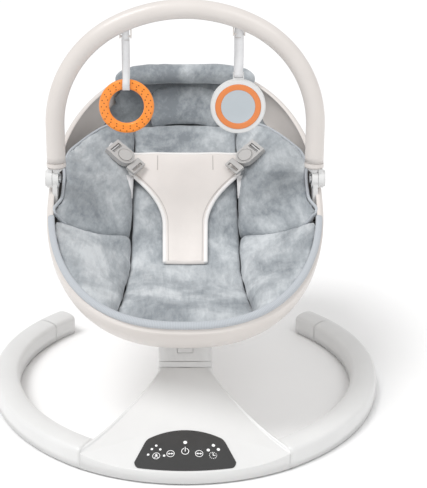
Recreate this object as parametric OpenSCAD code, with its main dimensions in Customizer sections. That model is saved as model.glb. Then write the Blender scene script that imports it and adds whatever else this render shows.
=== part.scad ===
// Baby swing: a padded bucket seat that sways about a leaning shaft on a low horseshoe base.
// Millimetres, +Z up, the front faces -Y. The origin is on the floor under the middle of the swing.

/* [Base] */
// Outer radius of the horseshoe ring at its sides and back
ring_r = 297; // [270:1:330]
// Width of the ring's arms, seen from above
arm_w = 39; // [38:0.5:46]
// Height of the arms
arm_h = 34.5; // [32:0.5:40]
// Distance from the ring's centre back to the origin, which puts the origin mid-length
ring_y = 11.85; // [0:0.05:30]
// Angle of the open ends of the ring, from the side towards the back
tip_angle = 44; // [38:1:50]
// Rise of the sloped band that holds the control panel, in degrees
band_slope = 25; // [20:1:30]

/* [Swing drive] */
// Backward lean of the swing axis, in degrees
axis_lean = 25; // [20:1:28]
// Radius of the mast at its top
mast_r = 39.5; // [36:0.5:42]
// Sway of the seat to each side, in degrees
sway = 12; // [5:1:15]
// Radius of the steel pivot shaft
shaft_r = 7.5; // [6:0.5:9]

/* [Seat] */
// Height of the middle of the seat rim above the floor
seat_z = 310; // [290:5:330]
// Tilt of the seat rim, head end up, in degrees
seat_tilt = 24; // [18:1:30]
// Half of the shell's greatest width
shell_half_w = 205; // [190:1:215]
// Length from the rim's middle to the foot end, at the shell's widest
shell_foot = 281; // [260:1:290]
// Length from the rim's middle to the head end, at the shell's widest
shell_head = 322; // [310:1:340]
// Depth of the bucket below its rim
shell_depth = 134; // [125:1:140]
// Wall thickness of the shell
shell_wall = 4; // [3:0.5:5]

/* [Toy bar] */
// Radius of the bar's tube
bar_tube_r = 14; // [12:0.5:15]
// Half of the distance between the centres of the bar's legs
bar_half_w = 192; // [185:0.5:195]
// Height of the hubs' axis
hub_z = 331; // [325:1:335]
// Outer radius of both hanging toys
toy_r = 40.5; // [36:0.5:44]

/* [Hidden] */
$fn = 64;
white = "#f2f1ee";
beige = "#e1dad3";
plush = "#b4bcc2";
grey = "#b9b7b5";

// ---------- helpers ----------
function signed_pow(v, p) = sign(v) * pow(abs(v), p);
function mix(a, b, t) = a + (b - a) * t;
function bezier(a, b, c, d, t) =
    pow(1 - t, 3) * a + 3 * t * pow(1 - t, 2) * b + 3 * t * t * (1 - t) * c + pow(t, 3) * d;

// Skin over a list of closed rings; each ring runs anticlockwise seen from the next one.
module skin(rings, loop = false) {
    n = len(rings[0]);
    m = len(rings);
    last = (m - 1) * n;
    spans = loop ? m : m - 1;
    sides = [
        for (j = [0 : spans - 1], i = [0 : n - 1])
            let (a = j * n + i, b = j * n + (i + 1) % n,
                 c = ((j + 1) % m) * n + (i + 1) % n, d = ((j + 1) % m) * n + i)
                each [[a, d, c], [a, c, b]]
    ];
    caps = loop ? [] : [
        for (k = [0 : floor(n / 2) - 1]) let (b = k + 1, c = n - 2 - k, d = n - 1 - k)
            each concat(
                d > b ? [[k, b, d], [last + d, last + b, last + k]] : [],
                c > b ? [[b, c, d], [last + d, last + c, last + b]] : []
            )
    ];
    polyhedron(points = [for (r = rings, p = r) p], faces = concat(sides, caps), convexity = 8);
}

// Both hands of a sub-part that is drawn on the right
module left() {
    mirror([1, 0, 0]) children();
}

// Frame of the ring: its centre on the floor
module ring_frame() {
    translate([0, ring_y, 0]) children();
}

// ---------- base ring ----------
floor_gap = 3;
cover_t = 2.5;
arm_wall = 2.5;
plate_r = 272;                   // radius of the plate's front edge
plate_y = -52;                   // centre of that edge, from the ring's centre
plate_half_angle = 32.2;
seam_x = plate_r * sin(plate_half_angle);
seam_y = plate_y - plate_r * cos(plate_half_angle);
// The arms' front arcs leave the ring at its sides and meet the plate at the seams
pull = (seam_x * seam_x + seam_y * seam_y - ring_r * ring_r) / (2 * (ring_r - seam_x));
front_arm_r = ring_r + pull;
seam_angle = atan2(-seam_y, seam_x + pull);
cap_angle = 10.4;
shoulder_r = 8;
crown_r = 50;

// Outline of an arm's section from its inner foot, over the crowned top, to its outer foot
function arm_outline(inset) =
    let (w = arm_w - 2 * inset, top = arm_h - inset, r = shoulder_r - inset * 0.8, reach = crown_r - r,
         z = top - crown_r + sqrt(reach * reach - pow(w / 2 - r, 2)), turn = acos((w / 2 - r) / reach))
        [for (p = concat(
            [[0, floor_gap]],
            [for (k = [0 : 4]) let (a = 180 - k / 4 * turn) [r + r * cos(a), z + r * sin(a)]],
            [for (k = [1 : 7]) let (a = mix(180 - turn, turn, k / 8))
                [w / 2 + crown_r * cos(a), top - crown_r + crown_r * sin(a)]],
            [for (k = [0 : 4]) let (a = turn - k / 4 * turn) [w - r + r * cos(a), z + r * sin(a)]],
            [[w, floor_gap]]
        )) [p[0] + inset, p[1]]];

// The arm's thin-walled section, open underneath: the outside, then back along the inside
arm_wall_outline =
    let (inner = arm_outline(arm_wall))
        concat(arm_outline(0), [for (k = [len(inner) - 1 : -1 : 0]) inner[k]]);

// A section across the arm at an angle: in front of the sides the arc is wider, and its centre is shifted
function arm_ring(a, section) =
    let (centre = a < 0 ? -pull : 0, r = (a < 0 ? front_arm_r : ring_r) - arm_w)
        [for (q = section) [centre + (r + q[0]) * cos(a), (r + q[0]) * sin(a), q[1]]];
arm_end = tip_angle - cap_angle;
function arm_angles(from, to) =
    concat([for (k = [0 : 13]) from * (1 - k / 14)], [for (k = [0 : 9]) to * k / 9]);

module right_arm_shell() {
    color(white) ring_frame() skin([for (a = arm_angles(-seam_angle, arm_end))
        arm_ring(a, arm_wall_outline)]);
}

module arm_cover_right() {
    low = arm_wall + 0.3;
    high = arm_w - low;
    section = [[low, floor_gap], [low, floor_gap + cover_t], [high, floor_gap + cover_t], [high, floor_gap]];
    ring_frame() skin([for (a = arm_angles(1 - seam_angle, arm_end - 0.5)) arm_ring(a, section)]);
}

module arm_covers() {
    color(white) {
        arm_cover_right();
        left() arm_cover_right();
    }
}

// The cap closes the arm; its end is rounded in four steps of [angle before the tip, inset]
cap_steps = [[cap_angle - 0.15, 0], [cap_angle / 2, 0], [1.1, 0], [0.6, 0.6], [0.25, 1.6], [0, 3.6]];
module right_end_cap() {
    color(white) ring_frame() skin([for (c = cap_steps) arm_ring(tip_angle - c[0], arm_outline(c[1]))]);
}

module arm_bar_right() {
    bar_in = 27;
    ring_frame() translate([-pull, 0, 0]) rotate([0, 0, -seam_angle - 14])
        rotate_extrude(angle = bar_in, $fn = 180)
            translate([front_arm_r - arm_w / 2 - 7, 7]) square([14, 9]);
}

module arm_bars() {
    color("silver") {
        arm_bar_right();
        left() arm_bar_right();
    }
}

// ---------- housing: plate, panel band and mast in one shell ----------
edge_z = 20;                     // front wall at the middle
edge_rise = 6;                   // more at the seams
band_w = 66;                     // depth of the panel band at the middle
axis_y = -134;                   // mast top's centre, from the ring's centre
axis_z = 86;
tongue_r = 42;
tongue_y = -166;
housing_wall = 3;

// Unit vectors of the swing axis' frame
axis_up = [0, sin(axis_lean), cos(axis_lean)];
axis_back = [0, cos(axis_lean), -sin(axis_lean)];

module axis_frame() {
    translate([0, ring_y + axis_y, axis_z]) rotate([-axis_lean, 0, 0]) children();
}

// The plate's front edge at an angle from straight ahead, and its wall's height there
function edge_point(a) =
    let (far = max(0, (abs(a) - 16) / (plate_half_angle - 16)))
        [plate_r * sin(a), plate_y - plate_r * cos(a), edge_z + edge_rise * far * far];
// The crease behind the panel band
function crease_point(a) =
    let (p = edge_point(a), w = band_w * (1 - pow(abs(a) / plate_half_angle, 2)))
        p + w * [-sin(a), cos(a), tan(band_slope)];
// Across the seam to an arm, from its outer corner (0) to its inner one (1)
function seam_point(t) =
    let (r = front_arm_r - arm_w * t)
        [r * cos(seam_angle) - pull, -r * sin(seam_angle),
         edge_z + edge_rise + (arm_h - edge_z - edge_rise) * pow(sin(180 * t), 0.6)];
inner_corner = seam_point(1);
function flank_point(t) =
    bezier(inner_corner, [90, -226, 20], [48, -196, 9], [tongue_r, tongue_y, 8], t);
function tongue_point(a) = [tongue_r * cos(a), tongue_y + tongue_r * sin(a), 8];

// Right half of the footprint: [foot point, crease point, angle on the mast's top]
half_outline = concat(
    [for (k = [0 : 15]) let (a = plate_half_angle * k / 16)
        [edge_point(a), crease_point(a), mix(-90, -42, k / 16)]],
    [for (k = [0 : 6]) let (t = k / 7) [seam_point(t), seam_point(t), mix(-42, -28, t)]],
    [for (k = [0 : 8]) let (t = k / 9) [flank_point(t), flank_point(t), mix(-28, 0, t)]],
    [for (k = [0 : 9]) let (a = 90 * k / 9) [tongue_point(a), tongue_point(a), a]]
);
function mirrored(e) = [[-e[0][0], e[0][1], e[0][2]], [-e[1][0], e[1][1], e[1][2]], 180 - e[2]];
outline = concat(half_outline, [for (k = [len(half_outline) - 2 : -1 : 1]) mirrored(half_outline[k])]);

function mast_point(angle, r, up) =
    [0, axis_y, axis_z] + [r * cos(angle), 0, 0] + r * sin(angle) * axis_back + up * axis_up;
// One point of the mast's skin, from its crease (0) to its top (1)
function mast_skin(e, t, r) =
    let (top = mast_point(e[2], r, 0), low = e[1], run = top - low,
         c1 = low + [run[0] * 0.4, run[1] * 0.3, run[2] * 0.22],
         c2 = top - [run[0] * 0.2, run[1] * 0.2, run[2] * 0.32])
        bezier(low, c1, c2, top, t);
function spine(t) = [0, mix(-222, axis_y, t), 0];
// Pull a point towards the housing's spine, for the inner face of the wall
function inside(p, t) =
    let (c = spine(t), k = mix(0.957, 1, t))
        [p[0] * k, c[1] + (p[1] - c[1]) * k, p[2] - housing_wall * (1 - t * 0.6)];

mast_steps = 9;
inner_steps = 4;
function outer_ring(t) = [for (e = outline) mast_skin(e, t, mast_r)];
function inner_ring(t) = [for (e = outline) inside(mast_skin(e, t, mast_r - housing_wall), t)];
function foot_ring(z) = [for (e = outline) [e[0][0], e[0][1], z]];
function band_ring(t) = [for (e = outline) mix(e[0], e[1], t)];

module housing_skin() {
    skin(concat(
        [foot_ring(floor_gap)],
        [for (t = [0, 0.5]) band_ring(t)],
        [for (k = [0 : mast_steps]) outer_ring(k / mast_steps)],
        [for (k = [inner_steps : -1 : 0]) inner_ring(k / inner_steps)],
        [for (t = [0.5, 0]) [for (p = band_ring(t)) inside(p, 0)]],
        [[for (p = foot_ring(floor_gap)) [inside(p, 0)[0], inside(p, 0)[1], floor_gap]]]
    ), loop = true);
}

module base_housing() {
    color(white) ring_frame() housing_skin();
}

module base_bottom_cover() {
    k = 0.95;
    color(white) ring_frame() difference() {
        translate([0, spine(0)[1], floor_gap]) linear_extrude(cover_t) scale(k)
            polygon([for (e = outline) [e[0][0], e[0][1] - spine(0)[1]]]);
        for (p = cover_screw_places)
            translate([p[0], p[1], 0]) cylinder(r = 2.2, h = 20);
        for (ring = [1, 2], k = [0 : 6 * ring - 1])
            translate([-62, -262, 0]) rotate([0, 0, 60 * k / ring])
                translate([6 * ring, 0, 0]) cylinder(r = 1.3, h = 20, $fn = 24);
    }
}
cover_screw_places = [[-31, -179], [31, -179], [-90, -270], [90, -270]];

// Panel outline in plan: domed top, slanted sides, rounded corners, bottom edge along the plate's
panel_low_r = plate_r - 2.5;
panel_low = 13.2;
dome_r = 128;
dome_y = -260.6 - dome_r;
dome_turn = 22;
function on_plate(r, a) = [r * sin(a), plate_y - r * cos(a)];
function on_dome(a) = [dome_r * sin(a), dome_y + dome_r * cos(a)];
// Rounded corner between two points, about the corner itself
function corner(from, tip, to) =
    [for (t = [0 : 0.2 : 1]) pow(1 - t, 2) * from + 2 * t * (1 - t) * tip + t * t * to];
panel_side = [
    corner(on_plate(panel_low_r, panel_low), [68, -313.5], [69.2, -305]),
    corner([56.5, -279], [53.6, -272], on_dome(dome_turn))
];
panel_half = concat(
    [for (a = [0 : 2 : panel_low - 1]) on_plate(panel_low_r, a)], panel_side[0], panel_side[1],
    [for (a = [dome_turn - 2 : -2 : 2]) on_dome(a)], [on_dome(0)]
);
module panel_outline() {
    n = len(panel_half);
    polygon(concat(panel_half, [for (k = [n - 2 : -1 : 1]) [-panel_half[k][0], panel_half[k][1]]]));
}

// A thin skin on the sloped band
panel_t = 0.9;
module control_panel() {
    wide = band_w + 8;
    low = edge_z + 0.3;
    color("#333333") ring_frame() intersection() {
        translate([0, plate_y, 0]) rotate([0, 0, -90 - 20])
            rotate_extrude(angle = 40, $fn = 360) polygon([
                [plate_r, low], [plate_r, low + panel_t],
                [plate_r - wide, low + panel_t + wide * tan(band_slope)],
                [plate_r - wide, low + wide * tan(band_slope)]
            ]);
        linear_extrude(90) panel_outline();
    }
}

module on_band(x, up) {
    // a point on the sloped band, up from its front edge
    a = asin(x / (plate_r - up));
    translate([0, plate_y, 0]) rotate([0, 0, a])
        translate([0, -(plate_r - up), edge_z + up * tan(band_slope)])
        rotate([band_slope, 0, 0]) children();
}

module control_board() {
    color("darkgreen") ring_frame() on_band(0, 33) {
        translate([0, 0, -11]) cube([110, 40, 1.6], center = true);
        for (x = [-48, 48], y = [-12, 14])
            translate([x, y, -10.3]) cylinder(r = 2.5, h = 3.2);
    }
}

// Lamps under the panel: five over the sway icon, one over the power icon, three over the timer's
led_places = concat(
    [for (k = [-2 : 2]) [-39.4 + 5.5 * k, 37.6 - 3.6 * k * k]],
    [[0, 44.4]],
    [for (k = [-1 : 1]) [38.5 + 7 * k, 38 - 6.5 * k * k]]
);
module indicator_leds() {
    color("white") ring_frame() for (p = led_places)
        on_band(p[0], p[1]) translate([0, 0, -10.2]) cylinder(r = 1.6, h = 4);
}

module rubber_feet() {
    color("#555555") ring_frame() {
        for (a = [30, 150])
            rotate([0, 0, a]) translate([ring_r - arm_w / 2, 0, 0]) cylinder(r = 12, h = floor_gap);
        for (side = [-1, 1]) {
            translate([side * (front_arm_r * cos(20) - pull - arm_w / 2 * cos(20)),
                -(front_arm_r - arm_w / 2) * sin(20), 0])
                cylinder(r = 12, h = floor_gap);
            translate([side * 104, -278, 0]) cylinder(r = 12, h = floor_gap);
        }
        translate([0, -296, 0]) cylinder(r = 12, h = floor_gap);
        translate([0, -150, 0]) cylinder(r = 12, h = floor_gap);
    }
}

module cover_screws() {
    color("gray") ring_frame() for (p = cover_screw_places) translate([p[0], p[1], 0]) {
        translate([0, 0, 0.8]) cylinder(r = 4, h = floor_gap - 0.8);
        translate([0, 0, floor_gap]) cylinder(r = 2, h = 8);
    }
}

module speaker() {
    color("#444444") ring_frame() translate([-62, -262, floor_gap + cover_t]) {
        cylinder(r = 20, h = 3);
        translate([0, 0, 3]) cylinder(r = 13, h = 8);
    }
}

// The inlet sits square to the tongue's leaning back wall
inlet_lean = 66;
inlet_r = 2.9;
module power_inlet() {
    color("#222222") ring_frame() translate([0, -115, 26]) rotate([inlet_lean, 0, 0]) {
        difference() {
            union() {
                translate([0, 0, -1]) cylinder(r = 8, h = 1.5);
                cylinder(r = 6, h = 14);
            }
            translate([0, 0, -2]) cylinder(r = inlet_r, h = 12);
        }
        translate([0, 0, 2]) cylinder(r = 1, h = 9);
    }
}

// ---------- drive: coil, magnets, shaft and bearings ----------
bearing_w = 9;
bearing_r = 16;
lower_z = -70;
upper_z = -18;
arm_z = -46;
magnet_reach = 34;
fit_gap = 0.04;

bearing_wall = 3;
module pivot_bracket() {
    foot_z = floor_gap + cover_t;
    color("#777777") difference() {
        union() {
            axis_frame() {
                for (z = [lower_z - 2, upper_z])
                    translate([0, 0, z]) cylinder(r = bearing_r + bearing_wall, h = bearing_w + 2);
                for (side = [-1, 1])
                    translate([side * 20 - 3, -8, lower_z - 2])
                        cube([6, 26, upper_z - lower_z + bearing_w + 4]);
                // legs down to the feet on the bottom cover
                for (side = [-1, 1])
                    translate([side * 22 - 3, -8, lower_z - 24]) cube([6, 22, 32]);
            }
            ring_frame() for (side = [-1, 1])
                translate([side * 27 - 8, -186, foot_z]) cube([16, 34, 5]);
        }
        axis_frame() {
            for (z = [lower_z, upper_z - 1])
                translate([0, 0, z]) cylinder(r = bearing_r, h = bearing_w + 1);
            translate([0, 0, lower_z - 20]) cylinder(r = shaft_r + 2, h = 90);
        }
        ring_frame() {
            for (p = [cover_screw_places[0], cover_screw_places[1]])
                translate([p[0], p[1], 0]) cylinder(r = 2.1, h = 30);
            translate([-100, -300, -50]) cube([200, 300, 50 + foot_z]);
        }
    }
}

module pivot_bearings() {
    color("silver") axis_frame() for (z = [lower_z, upper_z - 1])
        translate([0, 0, z]) difference() {
            cylinder(r = bearing_r, h = bearing_w);
            translate([0, 0, -1]) cylinder(r = shaft_r + fit_gap, h = bearing_w + 2);
        }
}

module pivot_shaft() {
    color("silver") axis_frame() difference() {
        translate([0, 0, lower_z - 3]) cylinder(r = shaft_r, h = 28 - lower_z + 3);
        translate([0, 0, lower_z - 1.6]) difference() {
            cylinder(r = shaft_r + 2, h = 1.1);
            translate([0, 0, -1]) cylinder(r = shaft_r - 1, h = 3);
        }
    }
}

module shaft_clip() {
    color("dimgray") axis_frame() translate([0, 0, lower_z - 1.5]) difference() {
        cylinder(r = shaft_r + 1.8, h = 0.9);
        translate([0, 0, -1]) cylinder(r = shaft_r - 0.95, h = 3);
        translate([-3, 0, -1]) cube([6, 20, 3]);
    }
}

module magnet_arm() {
    color("#666666") axis_frame() difference() {
        union() {
            translate([0, 0, arm_z - 6]) cylinder(r = 13, h = 12);
            translate([-11, -magnet_reach - 9, arm_z - 2]) cube([22, magnet_reach + 2, 5]);
            translate([0, -magnet_reach, arm_z - 2]) cylinder(r = 18, h = 5);
        }
        translate([0, 0, arm_z - 20]) cylinder(r = shaft_r, h = 40);
        translate([-30, -magnet_reach - 60, arm_z - 20]) cube([60, 46, 40]);
    }
}

module drive_magnets() {
    color("silver") axis_frame() for (side = [-1, 1])
        translate([side * 10, -magnet_reach, arm_z - 7]) cylinder(r = 7.5, h = 5);
}

coil_top = arm_z - 9;
module coil_core() {
    color("dimgray") axis_frame() translate([0, -magnet_reach, coil_top - 14]) {
        cylinder(r = 4.5, h = 14);
        translate([-13, -9, -2]) cube([26, 18, 2]);
    }
    // bracket from the core's plate down to the bottom cover
    color("dimgray") difference() {
        axis_frame() translate([-12, -magnet_reach - 6, coil_top - 60]) cube([24, 4, 45]);
        ring_frame() translate([-100, -300, -50]) cube([200, 300, 50 + floor_gap + cover_t]);
    }
}

module drive_coil() {
    color("#b87333") axis_frame() translate([0, -magnet_reach, coil_top - 13.5]) difference() {
        cylinder(r = 11, h = 11);
        translate([0, 0, -1]) cylinder(r = 4.8, h = 14);
    }
}

// ---------- rotor spigot, neck and release ----------
flange_low = 0.6;
flange_h = 8;
spigot_r = 20;
spigot_h = 30;
neck_low = flange_low + flange_h + 0.4;
neck_r = 39;
neck_top = 90;

module rotor_spigot() {
    color(white) axis_frame() difference() {
        union() {
            translate([0, 0, flange_low]) cylinder(r = mast_r - 0.2, h = flange_h, $fn = 96);
            translate([0, 0, flange_low]) cylinder(r = spigot_r, h = spigot_h, $fn = 96);
        }
        translate([0, 0, -5]) cylinder(r = shaft_r, h = 60);
    }
}

button_w = 22;
button_h = 13;
button_z = neck_low + 12;
module swing_neck() {
    color(white) axis_frame() difference() {
        translate([0, 0, neck_low]) cylinder(r = neck_r, h = neck_top - neck_low, $fn = 96);
        // ring-shaped hollow between the skin and the socket
        translate([0, 0, neck_low - 1]) difference() {
            cylinder(r = neck_r - 3.5, h = 22);
            translate([0, 0, -1]) cylinder(r = spigot_r + 5, h = 40);
        }
        translate([0, 0, neck_low - 1]) cylinder(r = spigot_r + fit_gap, h = spigot_h + 2, $fn = 96);
        // window for the release button
        translate([-button_w / 2 - 0.5, -neck_r - 5, button_z - 0.5]) cube([button_w + 1, 18, button_h + 1]);
        // the shell's floor lies on the slanted top
        rotate([axis_lean, 0, 0]) translate([0, -axis_y, -axis_z]) shell_floor() translate([0, 0, 51.5])
            cube([200, 200, 100], center = true);
    }
}
// Frame of the shell's lowest stretch, from the ring's centre
module shell_floor() {
    translate([0, -109, 141.5]) rotate([6.5, 0, 0]) children();
}

module release_button() {
    color(white) axis_frame() translate([0, 0, button_z]) {
        intersection() {
            translate([-button_w / 2, -neck_r - 3, 0]) cube([button_w, 9, button_h]);
            difference() {
                cylinder(r = neck_r + 0.8, h = 60, $fn = 96);
                translate([0, 0, -1]) cylinder(r = neck_r - 2.5, h = 70, $fn = 96);
            }
        }
        translate([-5, -neck_r + 2.6, 3]) cube([10, 6, 6]);
    }
}

// ---------- seat shell ----------
module seat_frame() {
    translate([0, ring_y, seat_z]) rotate([seat_tilt, 0, 0]) children();
}
foot_power = 2.42;
head_power = 2.2;
depth_power = 2.05;
bulge_n = -4;                    // level of the shell's widest line, below the rim
rim_scale = 0.985;               // the rim against the widest line
lip_w = 7;

// A point on an egg-shaped level curve of the shell: angle, scale, level and inset
function egg(a, k, n, inset = 0) =
    let (p = sin(a) < 0 ? foot_power : head_power, long = sin(a) < 0 ? shell_foot : shell_head)
        [(shell_half_w * k - inset) * signed_pow(cos(a), 2 / p),
         (long * k - inset) * signed_pow(sin(a), 2 / p), n];
// Half-width of the rim at a distance along the seat
function rim_half(s) =
    let (p = s < 0 ? foot_power : head_power, long = (s < 0 ? shell_foot : shell_head) * rim_scale)
        shell_half_w * rim_scale * pow(max(0, 1 - pow(abs(s) / long, p)), 1 / p);
// Half-profile: [scale, level], from the rim (0) past the widest line (0.2) to the bottom (1)
function shell_profile(t, depth) =
    t < 0.2
        ? let (u = 1 - t / 0.2) [1 - (1 - rim_scale) * u * u, bulge_n * (1 - u)]
        : let (a = 90 * (t - 0.2) / 0.8)
            [pow(cos(a), 2 / depth_power), bulge_n - (depth + bulge_n) * pow(sin(a), 2 / depth_power)];
shell_sides = 60;
shell_levels = [1, 0.97, 0.91, 0.83, 0.74, 0.64, 0.54, 0.44, 0.35, 0.27, 0.2, 0.1, 0];
function shell_ring(k, n, inset) =
    [for (i = [0 : shell_sides - 1]) egg(360 * (i + 0.5) / shell_sides, max(k, 0.03), n, inset)];

module seat_shell() {
    outer = [for (t = shell_levels) let (q = shell_profile(t, shell_depth)) shell_ring(q[0], q[1], 0)];
    lip = [shell_ring(rim_scale, 1.6, 1.2), shell_ring(rim_scale, 2, 3.2),
        shell_ring(rim_scale, 1.6, lip_w - 1),
           shell_ring(rim_scale, 0, lip_w)];
    inner = [
        for (k = [len(shell_levels) - 3 : -1 : 1])
            let (q = shell_profile(shell_levels[k], shell_depth - shell_wall))
                shell_ring(q[0], q[1], shell_wall)
    ];
    color(beige) seat_frame() skin(concat(outer, lip, inner));
}

plate_z = 8.7;                     // the plate bears on the curved floor at its corners
module seat_mount_plate() {
    color("gray") ring_frame() shell_floor() translate([0, 0, plate_z]) difference() {
        cube([54, 50, 3], center = true);
        for (x = [-23, 23], y = [-20, 20])
            translate([x, y, -5]) cylinder(r = 2.6, h = 10);
    }
}

module seat_bolts() {
    color("silver") ring_frame() shell_floor() for (x = [-23, 23], y = [-20, 20])
        translate([x, y, plate_z + 1.5]) {
            cylinder(r = 4.5, h = 3.5);
            translate([0, 0, -21]) cylinder(r = 2.5, h = 21);
        }
}

// ---------- pad ----------
// Level of the pad's top along its middle, and over the whole seat
pad_deep = -86;
pad_deep_s = -60;
function pad_mid(s) =
    let (d = s - pad_deep_s) pad_deep - 0.12 * d + 0.32 * (sqrt(d * d + 35 * 35) - 35);
hub_bend = 16;                   // the pad bends in by this much beside the hubs
function pad_edge(s) = rim_half(s) - 3 - hub_bend * exp(-pow((s - 14) / 40, 2));
function pad_top(x, s) =
    let (u = min(1, abs(x) / max(1, rim_half(s)))) pad_mid(s) + (5 - pad_mid(s)) * pow(u, 2.4);
function seam_half(s) = 83 + (s < -65 ? 16 * pow((-65 - s) / 175, 1.3) : 0);

// A cushion over a patch of the seat: u runs across it, v along it
function cushion_point(p, u, v, thick, side) =
    let (swell = 0.3 + 0.7 * pow(max(0, sin(180 * u)), 0.4) * pow(max(0, sin(180 * v)), 0.4))
        [p[0], p[1], pad_top(p[0], p[1]) - thick / 2 + side * thick / 2 * swell];

pad_grid = 10;
module seat_pad() {
    foot_s = -249;
    head_s = 215;
    thick = 26;
    half = function (s) seam_half(s) - 1;
    rings = [
        for (j = [0 : 16]) let (v = j / 16, s = mix(foot_s, head_s, v))
            concat(
                [for (i = [0 : pad_grid]) let (u = i / pad_grid)
                    cushion_point([mix(-half(s), half(s), u), s], u, v, thick, 1)],
                [for (i = [pad_grid : -1 : 0]) let (u = i / pad_grid)
                    cushion_point([mix(-half(s), half(s), u), s], u, v, thick, -1)]
            )
    ];
    color(plush) seat_frame() skin(rings);
}

// A wing between the centre seam and the pad's edge, and between two lines along the seat
module wing(low, high, thick) {
    rings = [
        for (j = [0 : 10]) let (v = j / 10)
            concat(
                [for (i = [0 : pad_grid]) let (u = i / pad_grid) wing_point(low, high, u, v, thick, 1)],
                [for (i = [pad_grid : -1 : 0]) let (u = i / pad_grid) wing_point(low, high, u, v, thick, -1)]
            )
    ];
    color(plush) seat_frame() skin(rings);
}
function wing_point(low, high, u, v, thick, side) =
    let (s = mix(low(u), high(u), v), x = mix(seam_half(s) + 1, pad_edge(s) - 9, u))
        cushion_point([x, s], u, v, thick, side);
split_line = function (u) -5 - 41 * u;

module right_lower_wing() {
    wing(function (u) -240 + 14 * u, function (u) split_line(u) - 1, 30);
}
module right_upper_wing() {
    wing(function (u) split_line(u) + 1, function (u) 213 - 136 * pow(u, 4), 30);
}

// Flat tape round the pad's edge, from beside one hub past the foot to the other
binding_w = 9;
binding_t = 7;
binding_inset = 0.5;
module pad_binding() {
    steps = 54;
    start = 18;
    rings = [
        for (k = [0 : steps])
            let (a = mix(start, -180 - start, k / steps),
                 p = egg(a, rim_scale, 0, binding_inset), q = egg(a, rim_scale, 0, binding_inset + binding_w),
                 near = hub_bend * exp(-pow((p[1] - 14) / 40, 2)) * sign(p[0]),
                 lift = 2.4)
                [
                    [q[0] - near, q[1], lift], [p[0] - near, p[1], lift],
                    [p[0] - near, p[1], lift + binding_t * 0.7],
                    [(p[0] + q[0]) / 2 - near, (p[1] + q[1]) / 2, lift + binding_t],
                    [q[0] - near, q[1], lift + binding_t * 0.8]
                ]
    ];
    color("#c9ced6") seat_frame() skin(rings);
}

// A plain cushion across the seat's middle, lifted off the pad's level at its two ends
module cross_cushion(s0, s1, half0, half1, thick, lift0, lift1, flat) {
    rings = [
        for (j = [0 : 8]) let (v = j / 8, s = mix(s0, s1, v), w = mix(half0, half1, v),
            lift = mix(lift0, lift1, v))
            [for (side = [1, -1], i = [0 : 8])
                let (u = side > 0 ? i / 8 : 1 - i / 8, x = mix(-w, w, u),
                    p = cushion_point([x, s], u, v, thick, side))
                    [x, s, p[2] + lift - flat * (pad_top(x, s) - pad_top(0, s))]]
    ];
    color(plush) seat_frame() skin(rings);
}
module head_pad() {
    // recessed panel under the head pillow
    cross_cushion(217, 279, 110, 80, 12, -20, -14, 0.6);
}
module head_pillow() {
    cross_cushion(219, 277, 54, 52, 22, 2, 20, 1);
}

bolster_r = 17;
module head_bolster() {
    // roll across the rim's head end
    color(plush) seat_frame() translate([0, 267, bolster_r + 2.8]) rotate([0, 90, 0]) {
        translate([0, 0, -88]) cylinder(r = bolster_r, h = 176, $fn = 48);
        for (side = [-1, 1])
            translate([0, 0, side * 88]) sphere(bolster_r, $fn = 48);
    }
}

// ---------- harness ----------
crotch_t = 6;
function crotch_half(s) =
    s > 112 ? 92 - 26 * pow((s - 112) / 36, 3) * 0.3
    : s > 10 ? 31 + 61 * pow((s - 10) / 102, 1.9)
    : 31 - 1 * (10 - s) / 70;
module crotch_pad() {
    rings = [
        for (j = [0 : 26]) let (s = mix(-60, 148, j / 26), w = crotch_half(s))
            concat(
                [for (i = [0 : 8]) let (x = mix(-w, w, i / 8)) [x, s, pad_top(x, s) + 1.2 + crotch_t]],
                [for (i = [8 : -1 : 0]) let (x = mix(-w, w, i / 8)) [x, s, pad_top(x, s) + 1.2]]
            )
    ];
    color(beige) seat_frame() skin(rings);
}

// Frame of the right buckle: +X along the strap, outwards and up the seat, +Z off the pad
buckle_x = 97;
buckle_s = 121;
buckle_turn = 38;
module buckle_frame() {
    lean_x = atan((pad_top(buckle_x + 15, buckle_s) - pad_top(buckle_x - 15, buckle_s)) / 30);
    lean_s = atan((pad_top(buckle_x, buckle_s + 15) - pad_top(buckle_x, buckle_s - 15)) / 30);
    seat_frame() translate([buckle_x, buckle_s, pad_top(buckle_x, buckle_s) + 11])
        rotate([lean_s, 0, 0]) rotate([0, -lean_x, 0]) rotate([0, 0, buckle_turn]) children();
}

module right_buckle_body() {
    color(grey) buckle_frame() difference() {
        union() {
            translate([0, -15.5, 0]) cube([15, 31, 9]);
            translate([14, -15, 0]) cube([12, 4.5, 9]);
            translate([14, 10.5, 0]) cube([12, 4.5, 9]);
            translate([23, -15, 0]) cube([5, 30, 9]);
            translate([0, 0, 0]) cylinder(r = 15.5, h = 9);
        }
        translate([0, 0, 5]) cylinder(r = 11.2, h = 10);
        translate([0, 0, 2]) cylinder(r = 4.2, h = 10);
    }
}

module right_buckle_button() {
    color(grey) buckle_frame() {
        translate([0, 0, 7.2]) cylinder(r = 10.8, h = 2.8);
        translate([0, 0, 4.6]) cylinder(r = 3.8, h = 3);
    }
}

module right_buckle_frame() {
    color(grey) buckle_frame() difference() {
        translate([-32, -15, 1.5]) cube([16.5, 30, 5]);
        translate([-29, -11, 0]) cube([5, 22, 10]);
    }
}

// Straps from the slits beside the seat pad up into the buckles' outer loops
module harness_webbing() {
    color("white") for (side = [0, 1]) mirror([side, 0, 0]) buckle_frame() {
        translate([15.5, -10, -3]) cube([6.5, 20, 2]);
        translate([20, -10, -3]) cube([2, 20, 10]);
    }
}

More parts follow.
